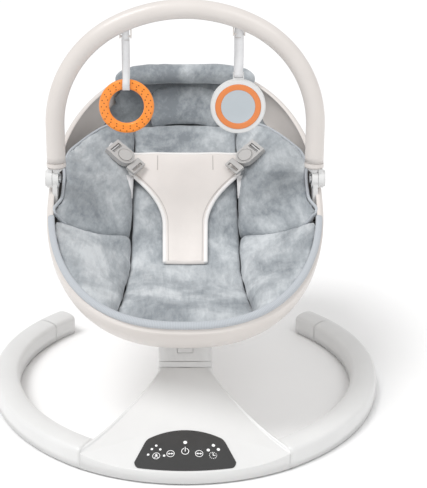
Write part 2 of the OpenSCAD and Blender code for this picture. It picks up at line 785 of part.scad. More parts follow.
// ---------- toy bar ----------
hub_y = 6;
hub_r = 14;
leg_top = 411.8;                 // the legs are straight up to here
shoulder_bend = 166.6;
crown_bend = 222.7;
collar_low = hub_z + 17;
collar_h = 9;
bar_bore_r = 9.5;
spigot_in_bar = 25;
bend_x = bar_half_w - shoulder_bend;
bend_angle = asin(bend_x / (crown_bend - shoulder_bend));
crown_z = leg_top - (crown_bend - shoulder_bend) * cos(bend_angle);

// Route of the tube's centre line up one leg, over both shoulders and the crown: [x, z, heading]
function shoulder_at(a) = [bend_x + shoulder_bend * cos(a), leg_top + shoulder_bend * sin(a), a];
function crown_at(a) = [crown_bend * cos(a), crown_z + crown_bend * sin(a), a];
bar_half_route = concat(
    [[bar_half_w, collar_low + collar_h, 0]],
    [for (k = [0 : 12]) shoulder_at((90 - bend_angle) * k / 12)],
    [for (k = [1 : 5]) crown_at(90 - bend_angle + bend_angle * k / 5)]
);
bar_route = concat(bar_half_route, [
    for (k = [len(bar_half_route) - 2 : -1 : 0])
        let (p = bar_half_route[k]) [-p[0], p[1], 180 - p[2]]
]);
bar_sides = 20;
function bar_ring(p, r) =
    [for (k = [0 : bar_sides - 1])
        let (a = 360 * k / bar_sides, out = r * cos(a))
            [p[0] + out * cos(p[2]), r * sin(a), p[1] + out * sin(p[2])]];
module toy_bar() {
    end = len(bar_route) - 1;
    color(beige) translate([0, ring_y + hub_y, 0]) skin(concat(
        [for (k = [0 : end]) bar_ring(bar_route[k], bar_tube_r)],
        [for (k = [end : -1 : 0]) bar_ring(bar_route[k], bar_bore_r)]
    ), loop = true);
}

module bar_collars() {
    color(beige) for (side = [-1, 1])
        translate([side * bar_half_w, ring_y + hub_y, collar_low]) difference() {
            union() {
                translate([0, 0, 1.5]) cylinder(r = bar_tube_r + 0.5, h = collar_h - 2.5);
                cylinder(r = bar_tube_r - 0.6, h = collar_h);
            }
            translate([0, 0, -1]) cylinder(r = 9.5, h = 30);
        }
}

part_x = 198;                    // plane where the two hub discs meet
hub_disc = 8;                    // thickness of the bar's hub disc
module right_bar_hub() {
    color(white) difference() {
        union() {
            translate([part_x + 0.2, ring_y + hub_y, hub_z]) rotate([0, 90, 0]) {
                cylinder(r = hub_r, h = hub_disc);
                translate([0, 0, hub_disc]) cylinder(r = hub_r - 2, h = 2.5);
            }
            // web up to the collar, and the spigot inside the bar
            translate([part_x + 0.2, ring_y + hub_y - 9, hub_z]) cube([6, 18, collar_low - hub_z - 0.3]);
            translate([bar_half_w, ring_y + hub_y, hub_z + 4])
                cylinder(r = 9.3, h = collar_low - hub_z - 4 + collar_h + spigot_in_bar);
        }
        // the socket's disc turns clear of the spigot
        translate([part_x - 40, ring_y + hub_y, hub_z]) rotate([0, 90, 0])
            cylinder(r = hub_r + 0.4, h = 40.2);
        translate([part_x - 12, ring_y + hub_y, hub_z]) rotate([0, 90, 0]) cylinder(r = hub_pin_r, h = 21);
    }
}

hub_pin_r = 4;
module right_hub_socket() {
    color(white) difference() {
        union() {
            translate([part_x - 9, ring_y + hub_y, hub_z]) rotate([0, 90, 0])
                cylinder(r = hub_r - 0.5, h = 8.8);
            translate([part_x - 7, ring_y + hub_y - 12, hub_z - 44]) cube([7, 24, 44]);
        }
        translate([part_x - 44, ring_y + hub_y, hub_z]) rotate([0, 90, 0])
            cylinder(r = hub_pin_r + fit_gap, h = 70);
    }
}

module hub_pins() {
    color("silver") for (side = [0, 1]) mirror([side, 0, 0])
        translate([part_x - 12, ring_y + hub_y, hub_z]) rotate([0, 90, 0]) {
            cylinder(r = hub_pin_r, h = 21);
            cylinder(r = 7, h = 2.6);
        }
}

// ---------- toys ----------
toy_z = 442;
ring_x = -86;
mirror_x = 77.5;
ribbon_w = 12;
ribbon_t = 1.2;
function bar_height(x) = crown_z + sqrt(crown_bend * crown_bend - x * x);
eye_drop = 7;                    // the ribbons' pins lie this far under the tube
eye_pin_r = 1.5;
function pin_height(x) = bar_height(x) - bar_tube_r * crown_bend / sqrt(crown_bend * crown_bend - x * x)
    - eye_drop;

// Two cheeks and a pin under the bar for each toy
module toy_eyes() {
    color(beige) for (x = [ring_x, mirror_x]) translate([x, ring_y + hub_y, pin_height(x)]) {
        for (side = [-1, 1])
            translate([side * 8 - 0.9, -3, -2.6]) cube([1.8, 6, 14]);
        rotate([0, 90, 0]) translate([0, 0, -8]) cylinder(r = eye_pin_r, h = 16);
    }
}

// Outline of a hanging loop in the side view: round the pin, then round what hangs
function loop_outline(x, low_r, low_z, extra) =
    let (r = eye_pin_r + 0.25 + extra, top = pin_height(x), waist = 0.35 + extra, low = low_r + extra)
        concat(
            [for (a = [0 : 20 : 180]) [r * cos(a), top + r * sin(a)]],
            [[-waist, top - 9], [-waist, low_z + low_r + 14]],
            [for (a = [128 : 16 : 412]) [low * cos(a), low_z + low * sin(a)]],
            [[waist, low_z + low_r + 14], [waist, top - 9]]
        );
module ribbon(x, low_r, low_z) {
    color("white") translate([x - ribbon_w / 2, ring_y + hub_y, 0]) rotate([90, 0, 90])
        linear_extrude(ribbon_w) difference() {
            polygon(loop_outline(x, low_r, low_z, ribbon_t));
            polygon(loop_outline(x, low_r, low_z, 0));
        }
}

teether_t = 9;
teether_w = 15;
module teether_ring() {
    // rounded section, with both faces flat
    color("#ff963c") translate([ring_x, ring_y + hub_y, toy_z]) rotate([90, 0, 0]) rotate_extrude($fn = 120)
        translate([toy_r - teether_w, -teether_t / 2]) {
            translate([teether_t / 2, 0]) square([teether_w - teether_t, teether_t]);
            for (x = [teether_t / 2, teether_w - teether_t / 2])
                translate([x, teether_t / 2]) circle(teether_t / 2);
        }
}
module ring_ribbon() {
    ribbon(ring_x, 8.6, toy_z + toy_r - teether_w / 2);
}

case_t = 10;
module mirror_case() {
    // a shallow dish with an eye on top for its ribbon
    color("white") translate([mirror_x, ring_y + hub_y, toy_z]) rotate([90, 0, 0]) difference() {
        union() {
            translate([0, 0, -case_t / 2]) cylinder(r = toy_r - 1.5, h = case_t, $fn = 120);
            translate([0, 0, -case_t / 2 + 2]) cylinder(r = toy_r, h = case_t - 4, $fn = 120);
            translate([-8, toy_r - 4, -2]) cube([16, 14, 4]);
        }
        translate([0, 0, case_t / 2 - 2]) cylinder(r = trim_r + 0.2, h = 10, $fn = 120);
        translate([-6.6, toy_r + 2, -10]) cube([13.2, 4, 20]);
    }
}
trim_r = 33.5;
glass_r = 25;
module mirror_trim() {
    color("#f08a4b") translate([mirror_x, ring_y + hub_y, toy_z]) rotate([90, 0, 0])
        translate([0, 0, case_t / 2 - 2]) difference() {
            cylinder(r = trim_r, h = 2.8, $fn = 120);
            translate([0, 0, -1]) cylinder(r = glass_r + 0.1, h = 10, $fn = 120);
        }
}
module mirror_glass() {
    color("lightcyan") translate([mirror_x, ring_y + hub_y, toy_z]) rotate([90, 0, 0])
        translate([0, 0, case_t / 2 - 2]) cylinder(r = glass_r, h = 1.6, $fn = 120);
}
module mirror_ribbon() {
    ribbon(mirror_x, 4.6, toy_z + toy_r + 8);
}

// ---------- assembly ----------
base_housing();
base_bottom_cover();
control_panel();
control_board();
indicator_leds();
left() right_arm_shell();  // left_arm_shell
right_arm_shell();
arm_covers();
arm_bars();
left() right_end_cap();  // left_end_cap
right_end_cap();
rubber_feet();
cover_screws();
speaker();
power_inlet();
drive_coil();
coil_core();
pivot_bracket();
pivot_bearings();
pivot_shaft();
shaft_clip();
magnet_arm();
drive_magnets();
rotor_spigot();
seat_shell();
swing_neck();
seat_mount_plate();
seat_bolts();
left() right_hub_socket();  // left_hub_socket
right_hub_socket();
seat_pad();
left() right_lower_wing();  // left_lower_wing
right_lower_wing();
left() right_upper_wing();  // left_upper_wing
right_upper_wing();
pad_binding();
head_pad();
head_pillow();
head_bolster();
crotch_pad();
left() right_buckle_body();  // left_buckle_body
right_buckle_body();
left() right_buckle_frame();  // left_buckle_frame
right_buckle_frame();
harness_webbing();
left() right_buckle_button();  // left_buckle_button
right_buckle_button();
release_button();
toy_bar();
left() right_bar_hub();  // left_bar_hub
right_bar_hub();
bar_collars();
hub_pins();
toy_eyes();
ring_ribbon();
teether_ring();
mirror_ribbon();
mirror_case();
mirror_trim();
mirror_glass();
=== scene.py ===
import math
import bpy
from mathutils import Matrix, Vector, noise
from mathutils.kdtree import KDTree


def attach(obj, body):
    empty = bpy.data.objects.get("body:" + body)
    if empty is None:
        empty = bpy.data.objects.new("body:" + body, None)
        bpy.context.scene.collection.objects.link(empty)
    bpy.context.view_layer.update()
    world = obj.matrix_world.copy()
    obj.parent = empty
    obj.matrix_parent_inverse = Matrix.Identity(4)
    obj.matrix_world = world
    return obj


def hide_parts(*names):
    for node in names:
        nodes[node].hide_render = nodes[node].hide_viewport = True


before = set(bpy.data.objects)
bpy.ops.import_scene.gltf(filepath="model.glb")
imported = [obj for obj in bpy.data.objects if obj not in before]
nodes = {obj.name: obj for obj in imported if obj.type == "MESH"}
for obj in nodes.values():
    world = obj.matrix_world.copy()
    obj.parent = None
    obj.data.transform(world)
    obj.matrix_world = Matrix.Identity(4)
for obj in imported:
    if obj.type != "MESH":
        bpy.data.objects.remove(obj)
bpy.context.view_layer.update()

# ---------- the swing's own measures, in millimetres, as in the CAD source ----------
RING_Y = 11.85                  # the ring's centre, from the origin
SEAT_Z = 310                    # the seat's own origin, above the floor
TILT = math.radians(24)         # of the seat
LEAN = math.radians(25)         # of the shaft the seat swings about
SIDES = ((1, "right"), (-1, "left"))
UP = Vector((0, 0, 1))
SEAT_UP = Vector((0, -math.sin(TILT), math.cos(TILT)))


def mix(a, b, t):
    return a + (b - a) * t


def smooth(t):
    t = min(1, max(0, t))
    return t * t * (3 - 2 * t)


def seat(x, s, n):
    """Seat coordinates (across, along, off the rim) to the world, in metres."""
    c, t = math.cos(TILT), math.sin(TILT)
    return Vector((x, RING_Y + s * c - n * t, SEAT_Z + s * t + n * c)) / 1000


def ring(x, y, z):
    """Coordinates from the ring's centre, on the floor, to the world, in metres."""
    return Vector((x, y + RING_Y, z)) / 1000


# ---------- materials ----------
def principled(m):
    return m.node_tree.nodes["Principled BSDF"]


def material(name, color, rough=0.5, coat=0.0, sheen=0.0):
    m = bpy.data.materials.new(name)
    m.use_nodes = True
    b = principled(m)
    b.inputs["Base Color"].default_value = (*color, 1)
    b.inputs["Roughness"].default_value = rough
    b.inputs["Coat Weight"].default_value = coat
    b.inputs["Sheen Weight"].default_value = sheen
    m.diffuse_color = (*color, 1)
    return m


def node(m, kind, **values):
    """A shader node with its properties or inputs set by name."""
    n = m.node_tree.nodes.new(kind)
    for key, value in values.items():
        if hasattr(n, key):
            setattr(n, key, value)
        else:
            n.inputs[key.replace("_", " ")].default_value = value
    return n


def link(m, a, out, b, into):
    m.node_tree.links.new(a.outputs[out], b.inputs[into])


def ramp(m, stops):
    """A colour ramp from (position, colour) stops."""
    r = m.node_tree.nodes.new("ShaderNodeValToRGB")
    e = r.color_ramp.elements
    while len(e) < len(stops):
        e.new(0.5)
    for k, (pos, c) in enumerate(stops):
        e[k].position = pos
        e[k].color = (*c, 1)
    return r


def plastic(name, color, rough=0.35, coat=0.0, grain=0.04, tint=0.015):
    """Moulded plastic: a fine grain, and colour and gloss that wander a little."""
    m = material(name, color, rough, coat)
    b = principled(m)
    tex = node(m, "ShaderNodeTexCoord")
    broad = node(m, "ShaderNodeTexNoise", Scale=14.0, Detail=3.0)
    link(m, tex, "Object", broad, "Vector")
    lo = tuple(max(0, c - tint) for c in color)
    hi = tuple(min(1, c + tint) for c in color)
    r = ramp(m, [(0.3, lo), (0.7, hi)])
    link(m, broad, "Fac", r, "Fac")
    link(m, r, "Color", b, "Base Color")
    fine = node(m, "ShaderNodeTexNoise", Scale=1400.0, Detail=2.0)
    link(m, tex, "Object", fine, "Vector")
    bump = node(m, "ShaderNodeBump", Strength=grain, Distance=0.0004)
    link(m, fine, "Fac", bump, "Height")
    link(m, bump, "Normal", b, "Normal")
    return m


def plush_material(name, dark, mid, light):
    """Short crushed plush: patches where the pile lies either way, their lighter and darker tone a painted
    sheen, streaks, and a fine pile bump.
    """
    m = material(name, mid, 0.95, sheen=0.35)
    b = principled(m)
    b.inputs["Sheen Roughness"].default_value = 0.45
    b.inputs["Specular IOR Level"].default_value = 0.15
    tex = node(m, "ShaderNodeTexCoord")
    broad = node(m, "ShaderNodeTexNoise", Scale=11.0, Detail=5.0, Roughness=0.62, Distortion=0.5)
    link(m, tex, "Object", broad, "Vector")
    turn = node(m, "ShaderNodeMapping", Rotation=(0.5, 0.4, 0.7), Scale=(1.0, 0.22, 1.0))
    link(m, tex, "Object", turn, "Vector")
    streak = node(m, "ShaderNodeTexNoise", Scale=130.0, Detail=4.0, Roughness=0.7, Distortion=0.3)
    link(m, turn, "Vector", streak, "Vector")
    # patches plus a third of the streaks
    both = node(m, "ShaderNodeMath", operation="MULTIPLY_ADD")
    both.inputs[1].default_value = 0.34
    link(m, streak, "Fac", both, 0)
    link(m, broad, "Fac", both, 2)
    r = ramp(m, [(0.5, dark), (0.66, mid), (0.84, light)])
    link(m, both, "Value", r, "Fac")
    link(m, r, "Color", b, "Base Color")
    pile = node(m, "ShaderNodeTexNoise", Scale=700.0, Detail=2.0)
    link(m, tex, "Object", pile, "Vector")
    bump = node(m, "ShaderNodeBump", Strength=0.35, Distance=0.0012)
    link(m, pile, "Fac", bump, "Height")
    crush = node(m, "ShaderNodeBump", Strength=0.25, Distance=0.004)
    link(m, streak, "Fac", crush, "Height")
    link(m, bump, "Normal", crush, "Normal")
    link(m, crush, "Normal", b, "Normal")
    return m


def woven(name, color, rib, depth):
    """Ribbed tape or webbing: ribs across the length, from the piece's own UV in metres, with painted shade in
    the troughs between them.
    """
    m = material(name, color, 0.9, sheen=0.2)
    b = principled(m)
    tex = node(m, "ShaderNodeTexCoord")
    wave = node(m, "ShaderNodeTexWave", Scale=1.0 / rib / 6.283, bands_direction="X")
    wave.inputs["Distortion"].default_value = 0.6
    wave.inputs["Detail"].default_value = 1.0
    link(m, tex, "UV", wave, "Vector")
    # the troughs, low in the bump, are darker in the colour: painted shade between the ribs
    lo = tuple(c * 0.86 for c in color)
    r = ramp(m, [(0.1, lo), (0.9, color)])
    link(m, wave, "Fac", r, "Fac")
    link(m, r, "Color", b, "Base Color")
    bump = node(m, "ShaderNodeBump", Strength=depth, Distance=0.0005)
    link(m, wave, "Fac", bump, "Height")
    link(m, bump, "Normal", b, "Normal")
    return m


def cloth_material(name, color, weave=0.25):
    """Smooth cloth with a fine weave."""
    m = material(name, color, 0.85, sheen=0.15)
    b = principled(m)
    tex = node(m, "ShaderNodeTexCoord")
    fine = node(m, "ShaderNodeTexNoise", Scale=900.0, Detail=2.0)
    link(m, tex, "Object", fine, "Vector")
    bump = node(m, "ShaderNodeBump", Strength=weave, Distance=0.0006)
    link(m, fine, "Fac", bump, "Height")
    link(m, bump, "Normal", b, "Normal")
    broad = node(m, "ShaderNodeTexNoise", Scale=20.0, Detail=3.0)
    link(m, tex, "Object", broad, "Vector")
    r = ramp(m, [(0.3, tuple(c * 0.95 for c in color)), (0.7, color)])
    link(m, broad, "Fac", r, "Fac")
    link(m, r, "Color", b, "Base Color")
    return m


def metal(name, color, rough=0.3):
    m = plastic(name, color, rough, 0, 0.1, 0.03)
    principled(m).inputs["Metallic"].default_value = 1.0
    return m


WHITE = plastic("white_shell", (0.74, 0.74, 0.735), 0.3, 0.15)
BEIGE = plastic("beige_shell", (0.69, 0.648, 0.618), 0.36, 0.1)
PANEL = plastic("panel_black", (0.032, 0.032, 0.032), 0.25, 0.4, 0.02, 0.004)
ICON = plastic("panel_icons", (0.95, 0.95, 0.95), 0.5, 0, 0.0, 0.005)
PLUSH = plush_material("plush", (0.235, 0.258, 0.28), (0.385, 0.413, 0.436), (0.60, 0.628, 0.648))
# a darker copy of the plush, for painted shade in the head panel's recess and in the seams
SHADED_PLUSH = plush_material("plush_painted_shade", (0.15, 0.165, 0.18), (0.24, 0.26, 0.275), (0.36, 0.385, 0.40))
TAPE = woven("binding_tape", (0.50, 0.53, 0.565), 0.0011, 0.5)
WEB = woven("webbing", (0.80, 0.80, 0.81), 0.0009, 0.15)
HARNESS = cloth_material("harness_cloth", (0.79, 0.745, 0.715))
PIPING = cloth_material("piping", (0.90, 0.885, 0.875), 0.15)
THREAD = cloth_material("thread", (0.55, 0.52, 0.50), 0.1)
BUCKLE = plastic("buckle_grey", (0.48, 0.47, 0.46), 0.34, 0.1)
ORANGE = plastic("teether_orange", (1.0, 0.30, 0.035), 0.4, 0.1, 0.03, 0.02)
# a darker copy of the teether's orange, painted shade for its small holes
HOLE_SHADE = plastic("teether_hole_shade", (0.36, 0.085, 0.015), 0.6)
TRIM = plastic("trim_orange", (0.78, 0.235, 0.06), 0.4, 0.1, 0.03, 0.02)
STEEL = metal("steel", (0.6, 0.6, 0.6), 0.28)
DARK_STEEL = metal("dark_steel", (0.12, 0.12, 0.13), 0.45)
COPPER = metal("copper", (0.72, 0.36, 0.16), 0.35)
NICKEL = metal("nickel", (0.75, 0.74, 0.72), 0.15)
MIRROR = metal("mirror", (0.47, 0.51, 0.54), 0.04)
RUBBER = plastic("rubber", (0.30, 0.30, 0.30), 0.85, 0, 0.3)
DARK = plastic("dark_parts", (0.03, 0.03, 0.032), 0.5)
BOARD = plastic("circuit_board", (0.03, 0.16, 0.06), 0.4)

CAD_LOOKS = {
    "base_housing": WHITE, "base_bottom_cover": WHITE, "control_panel": PANEL, "control_board": BOARD,
    "indicator_leds": ICON, "left_arm_shell": WHITE, "right_arm_shell": WHITE, "arm_covers": WHITE,
    "arm_bars": STEEL, "left_end_cap": WHITE, "right_end_cap": WHITE, "rubber_feet": RUBBER,
    "cover_screws": STEEL, "speaker": DARK, "power_inlet": DARK, "drive_coil": COPPER,
    "coil_core": DARK_STEEL, "pivot_bracket": DARK_STEEL, "pivot_bearings": STEEL, "pivot_shaft": STEEL,
    "shaft_clip": DARK_STEEL, "magnet_arm": DARK_STEEL, "drive_magnets": NICKEL, "rotor_spigot": WHITE,
    "swing_neck": WHITE, "seat_mount_plate": DARK_STEEL, "seat_bolts": STEEL, "left_hub_socket": WHITE,
    "right_hub_socket": WHITE, "left_buckle_body": BUCKLE, "right_buckle_body": BUCKLE,
    "left_buckle_frame": BUCKLE, "right_buckle_frame": BUCKLE, "left_buckle_button": BUCKLE,
    "right_buckle_button": BUCKLE, "release_button": WHITE, "left_bar_hub": WHITE, "right_bar_hub": WHITE,
    "bar_collars": BEIGE, "hub_pins": STEEL, "toy_eyes": BEIGE, "teether_ring": ORANGE,
    "mirror_case": WHITE, "mirror_trim": TRIM, "mirror_glass": MIRROR, "seat_shell": BEIGE,
    "toy_bar": BEIGE, "harness_webbing": WEB,
}


def finish_cad(o, bevel):
    """Softens a CAD node's edges: its split corners are welded, then bevelled and shaded smooth."""
    for p in o.data.polygons:
        p.use_smooth = True
    weld = o.modifiers.new("weld", "WELD")
    weld.merge_threshold = 1e-5
    if bevel:
        b = o.modifiers.new("bevel", "BEVEL")
        b.width = bevel
        b.segments = 2
        b.limit_method = "ANGLE"
        b.angle_limit = math.radians(35)
        b.harden_normals = False
    w = o.modifiers.new("normals", "WEIGHTED_NORMAL")
    w.keep_sharp = True


# how far a CAD node's edges are bevelled, in metres, where it isn't BEVEL
BEVEL = 0.0004
SOFT_EDGES = {
    "left_end_cap": 0, "right_end_cap": 0, "left_arm_shell": 0, "right_arm_shell": 0, "arm_covers": 0,
    "left_buckle_body": 0.0012, "right_buckle_body": 0.0012, "left_buckle_button": 0.001,
    "right_buckle_button": 0.001, "release_button": 0.0007, "mirror_case": 0.001, "mirror_trim": 0.0008,
    "left_bar_hub": 0.001, "right_bar_hub": 0.001, "bar_collars": 0.0012, "swing_neck": 0.0006,
    "rotor_spigot": 0.001, "left_buckle_frame": 0.001, "right_buckle_frame": 0.001,
    "left_hub_socket": 0.001, "right_hub_socket": 0.001, "control_panel": 0.0003,
}
for name, look in CAD_LOOKS.items():
    o = nodes[name]
    o.data.materials.clear()
    o.data.materials.append(look)
    # the other three get a finer skin below
    if name not in ("base_housing", "seat_shell", "toy_bar"):
        finish_cad(o, SOFT_EDGES.get(name, BEVEL))


# ---------- mesh helpers ----------
def make(name, verts, faces, look, body, uvs=None, flat=False):
    """A new piece that rides a body; uvs has one pair for each vertex."""
    me = bpy.data.meshes.new(name)
    me.from_pydata([tuple(v) for v in verts], [], faces)
    me.validate()
    if uvs:
        layer = me.uv_layers.new(name="UVMap")
        for loop in me.loops:
            layer.data[loop.index].uv = uvs[loop.vertex_index]
    o = bpy.data.objects.new(name, me)
    bpy.context.scene.collection.objects.link(o)
    me.materials.append(look)
    for p in me.polygons:
        p.use_smooth = not flat
    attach(o, body)
    return o


def skin(rings, loop=False):
    """Faces over a list of closed rings of equal length."""
    n, m = len(rings[0]), len(rings)
    verts = [p for r in rings for p in r]
    faces = []
    for j in range(m if loop else m - 1):
        k = (j + 1) % m
        for i in range(n):
            faces.append((j * n + i, j * n + (i + 1) % n, k * n + (i + 1) % n, k * n + i))
    if not loop:
        faces.append(tuple(reversed(range(n))))
        faces.append(tuple((m - 1) * n + i for i in range(n)))
    return verts, faces


def frames_along(path, up):
    """A side and an up vector at each point of a path."""
    out = []
    for k, p in enumerate(path):
        t = (path[min(k + 1, len(path) - 1)] - path[max(k - 1, 0)]).normalized()
        u = up(k) if callable(up) else up
        side = t.cross(u).normalized()
        out.append((side, side.cross(t).normalized()))
    return out


def sweep(name, path, section, look, body, up=UP):
    """A section [(side, up)], in metres, or a function of the step that gives one, swept along a path."""
    fr = frames_along(path, up)
    rings, uvs, run = [], [], 0.0
    for k, p in enumerate(path):
        if k:
            run += (p - path[k - 1]).length
        sec = section(k) if callable(section) else section
        rings.append([p + fr[k][0] * a + fr[k][1] * b for a, b in sec])
        across = 0.0
        for i in range(len(sec)):
            uvs.append((run, across))
            a, b = sec[i], sec[(i + 1) % len(sec)]
            across += math.hypot(a[0] - b[0], a[1] - b[1])
    v, f = skin(rings)
    return make(name, v, f, look, body, uvs)


def circle(r, n=16, rz=None):
    """A round section, or an oval one if rz is given."""
    rz = r if rz is None else rz
    return [(r * math.cos(2 * math.pi * k / n), rz * math.sin(2 * math.pi * k / n)) for k in range(n)]


def band(half, thin):
    """A flat section, by its half-width and half-thickness."""
    return [(-half, -thin), (half, -thin), (half, thin), (-half, thin)]


def slab_faces(nu, nv):
    """Faces of a closed sheet: a top grid of (nu + 1) x (nv + 1) points, then the same grid below it."""
    w, n = nu + 1, (nu + 1) * (nv + 1)
    faces = []
    for j in range(nv):
        for i in range(nu):
            a = j * w + i
            faces.append((a, a + 1, a + w + 1, a + w))
            faces.append((n + a, n + a + w, n + a + w + 1, n + a + 1))
    rim = list(range(w)) + [j * w + nu for j in range(1, nv + 1)]
    rim += [nv * w + i for i in range(nu - 1, -1, -1)] + [j * w for j in range(nv - 1, 0, -1)]
    for a, b in zip(rim, rim[1:] + rim[:1]):
        faces.append((a, n + a, n + b, b))
    return faces


BOX_FACES = [(0, 1, 2, 3), (7, 6, 5, 4), (0, 4, 5, 1), (1, 5, 6, 2), (2, 6, 7, 3), (3, 7, 4, 0)]


def spline(points, per):
    """Catmull-Rom through the points, with so many steps between two of them."""
    pts = [Vector(p) for p in points]
    ext = [pts[0] * 2 - pts[1]] + pts + [pts[-1] * 2 - pts[-2]]
    out = []
    for k in range(1, len(ext) - 2):
        a, b, c, d = ext[k - 1], ext[k], ext[k + 1], ext[k + 2]
        for j in range(per):
            t = j / per
            out.append(0.5 * ((2 * b) + (c - a) * t + (2 * a - 5 * b + 4 * c - d) * t * t
                              + (3 * b - a - 3 * c + d) * t * t * t))
    out.append(pts[-1])
    return out


# ---------- base: housing with its panel band and mast, drawn finely ----------
RING_R, ARM_W, ARM_H, GAP = 297, 39, 34.5, 3     # the horseshoe, and its height off the floor
ARM_CROWN, ARM_EDGE = 50, 8                      # radii of an arm's crowned top and of its edges
TIP, CAP_A = 44, 10.4                            # where an arm ends, and its cap's length, in degrees
PLATE_R, PLATE_Y, PLATE_HALF = 272, -52, 32.2    # the housing's front edge: radius, centre, half its angle
SEAM_X = PLATE_R * math.sin(math.radians(PLATE_HALF))
SEAM_Y = PLATE_Y - PLATE_R * math.cos(math.radians(PLATE_HALF))
PULL = (SEAM_X ** 2 + SEAM_Y ** 2 - RING_R ** 2) / (2 * (RING_R - SEAM_X))
FRONT_R = RING_R + PULL
SEAM_A = math.degrees(math.atan2(-SEAM_Y, SEAM_X + PULL))
EDGE_Z, EDGE_RISE, BAND_W, BAND_SLOPE = 20, 6, 66, math.radians(25)
AXIS_Y, AXIS_Z, MAST_R, TONGUE_R, TONGUE_Y, WALL = -134, 86, 39.5, 42, -166, 3


def arm_outline(inset):
    """An arm's cross-section (out from its inner face, up), pulled in by an inset."""
    fine = 3
    w, top, r = ARM_W - 2 * inset, ARM_H - inset, ARM_EDGE - inset * 0.8
    reach = ARM_CROWN - r
    z = top - ARM_CROWN + math.sqrt(reach ** 2 - (w / 2 - r) ** 2)
    turn = math.acos((w / 2 - r) / reach)
    pts = [(0, GAP), (0, mix(GAP, z, 0.5))]
    for k in range(4 * fine + 1):
        a = math.pi - k / (4 * fine) * turn
        pts.append((r + r * math.cos(a), z + r * math.sin(a)))
    for k in range(1, 8 * fine):
        a = mix(math.pi - turn, turn, k / (8 * fine))
        pts.append((w / 2 + ARM_CROWN * math.cos(a), top - ARM_CROWN + ARM_CROWN * math.sin(a)))
    for k in range(4 * fine + 1):
        a = turn - k / (4 * fine) * turn
        pts.append((w - r + r * math.cos(a), z + r * math.sin(a)))
    pts += [(w, mix(GAP, z, 0.5)), (w, GAP)]
    return [(p[0] + inset, p[1]) for p in pts]


def arm_ring(a, section, side):
    """A cross-section set across the horseshoe at an angle."""
    c = -PULL if a < 0 else 0
    r = (FRONT_R if a < 0 else RING_R) - ARM_W
    t = math.radians(a)
    return [ring(side * (c + (r + q[0]) * math.cos(t)), (r + q[0]) * math.sin(t), q[1]) for q in section]


def facing(faces, side):
    """Faces of a mirrored piece are turned back the right way round."""
    return faces if side > 0 else [tuple(reversed(q)) for q in faces]


for side, hand in SIDES:
    end = TIP - CAP_A
    angles = [-SEAM_A * (1 - k / 48) for k in range(48)] + [end * k / 30 for k in range(31)]
    wall = arm_outline(0) + arm_outline(2.5)[::-1]
    v, f = skin([arm_ring(a, wall, side) for a in angles])
    o = make(hand + "_arm_skin", v, facing(f, side), WHITE, "base")
    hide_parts(hand + "_arm_shell")
    # (angle from the tip, inset): a softened seam, the cap's length, and its rounded end
    steps = [(CAP_A - 0.15, 0.35), (CAP_A - 0.22, 0.1), (CAP_A - 0.4, 0)]
    steps += [(mix(CAP_A, 1.2, k / 12), 0) for k in range(2, 13)]
    for k in range(1, 7):
        a = math.radians(90 * k / 6)
        steps.append((1.2 * (1 - math.sin(a)), 4.2 * (1 - math.cos(a))))
    v, f = skin([arm_ring(TIP - c, arm_outline(i), side) for c, i in steps])
    o = make(hand + "_cap_skin", v, facing(f, side), WHITE, "base")
    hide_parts(hand + "_end_cap")


def edge_point(a):
    """The front edge of the panel's band, which rises towards the arms."""
    far = max(0, (abs(a) - 16) / (PLATE_HALF - 16))
    t = math.radians(a)
    return Vector((PLATE_R * math.sin(t), PLATE_Y - PLATE_R * math.cos(t), EDGE_Z + EDGE_RISE * far * far))


def crease_point(a):
    """The band's upper edge, where the mast's slope begins."""
    w = BAND_W * (1 - (abs(a) / PLATE_HALF) ** 2)
    t = math.radians(a)
    return edge_point(a) + w * Vector((-math.sin(t), math.cos(t), math.tan(BAND_SLOPE)))


def seam_point(t):
    """Across the seam with an arm, from its outer to its inner face."""
    r, a = FRONT_R - ARM_W * t, math.radians(SEAM_A)
    return Vector((r * math.cos(a) - PULL, -r * math.sin(a),
                   EDGE_Z + EDGE_RISE + (ARM_H - EDGE_Z - EDGE_RISE) * max(0, math.sin(math.pi * t)) ** 0.6))


def bezier(a, b, c, d, t):
    return (1 - t) ** 3 * a + 3 * t * (1 - t) ** 2 * b + 3 * t * t * (1 - t) * c + t ** 3 * d


def mast_top(angle, r):
    t = math.radians(angle)
    back = r * math.sin(t)
    return Vector((r * math.cos(t), AXIS_Y + back * math.cos(LEAN), AXIS_Z - back * math.sin(LEAN)))


def housing_outline():
    """Points round the housing: (edge, crease, angle on the mast's top) for each."""
    half = []
    for k in range(48):
        a = PLATE_HALF * k / 48
        half.append((edge_point(a), crease_point(a), mix(-90, -42, k / 48)))
    for k in range(21):
        t = k / 21
        half.append((seam_point(t), seam_point(t), mix(-42, -28, t)))
    inner = seam_point(1)
    b, c, d = Vector((90, -226, 20)), Vector((48, -196, 9)), Vector((TONGUE_R, TONGUE_Y, 8))
    for k in range(27):
        t = k / 27
        p = bezier(inner, b, c, d, t)
        half.append((p, p, mix(-28, 0, t)))
    for k in range(31):
        a = math.radians(90 * k / 30)
        p = Vector((TONGUE_R * math.cos(a), TONGUE_Y + TONGUE_R * math.sin(a), 8))
        half.append((p, p, 90 * k / 30))
    flip = Vector((-1, 1, 1))
    return half + [(e[0] * flip, e[1] * flip, 180 - e[2]) for e in half[-2:0:-1]]


def mast_skin(e, t, r):
    """A point part of the way from the crease up to the mast's top."""
    top, low = mast_top(e[2], r), e[1]
    run = top - low
    c1 = low + Vector((run.x * 0.4, run.y * 0.3, run.z * 0.22))
    c2 = top - Vector((run.x * 0.2, run.y * 0.2, run.z * 0.32))
    return bezier(low, c1, c2, top, t)


def housing_inside(p, t):
    cy, k = mix(-222, AXIS_Y, t), mix(0.957, 1, t)
    return Vector((p.x * k, cy + (p.y - cy) * k, p.z - WALL * (1 - t * 0.6)))


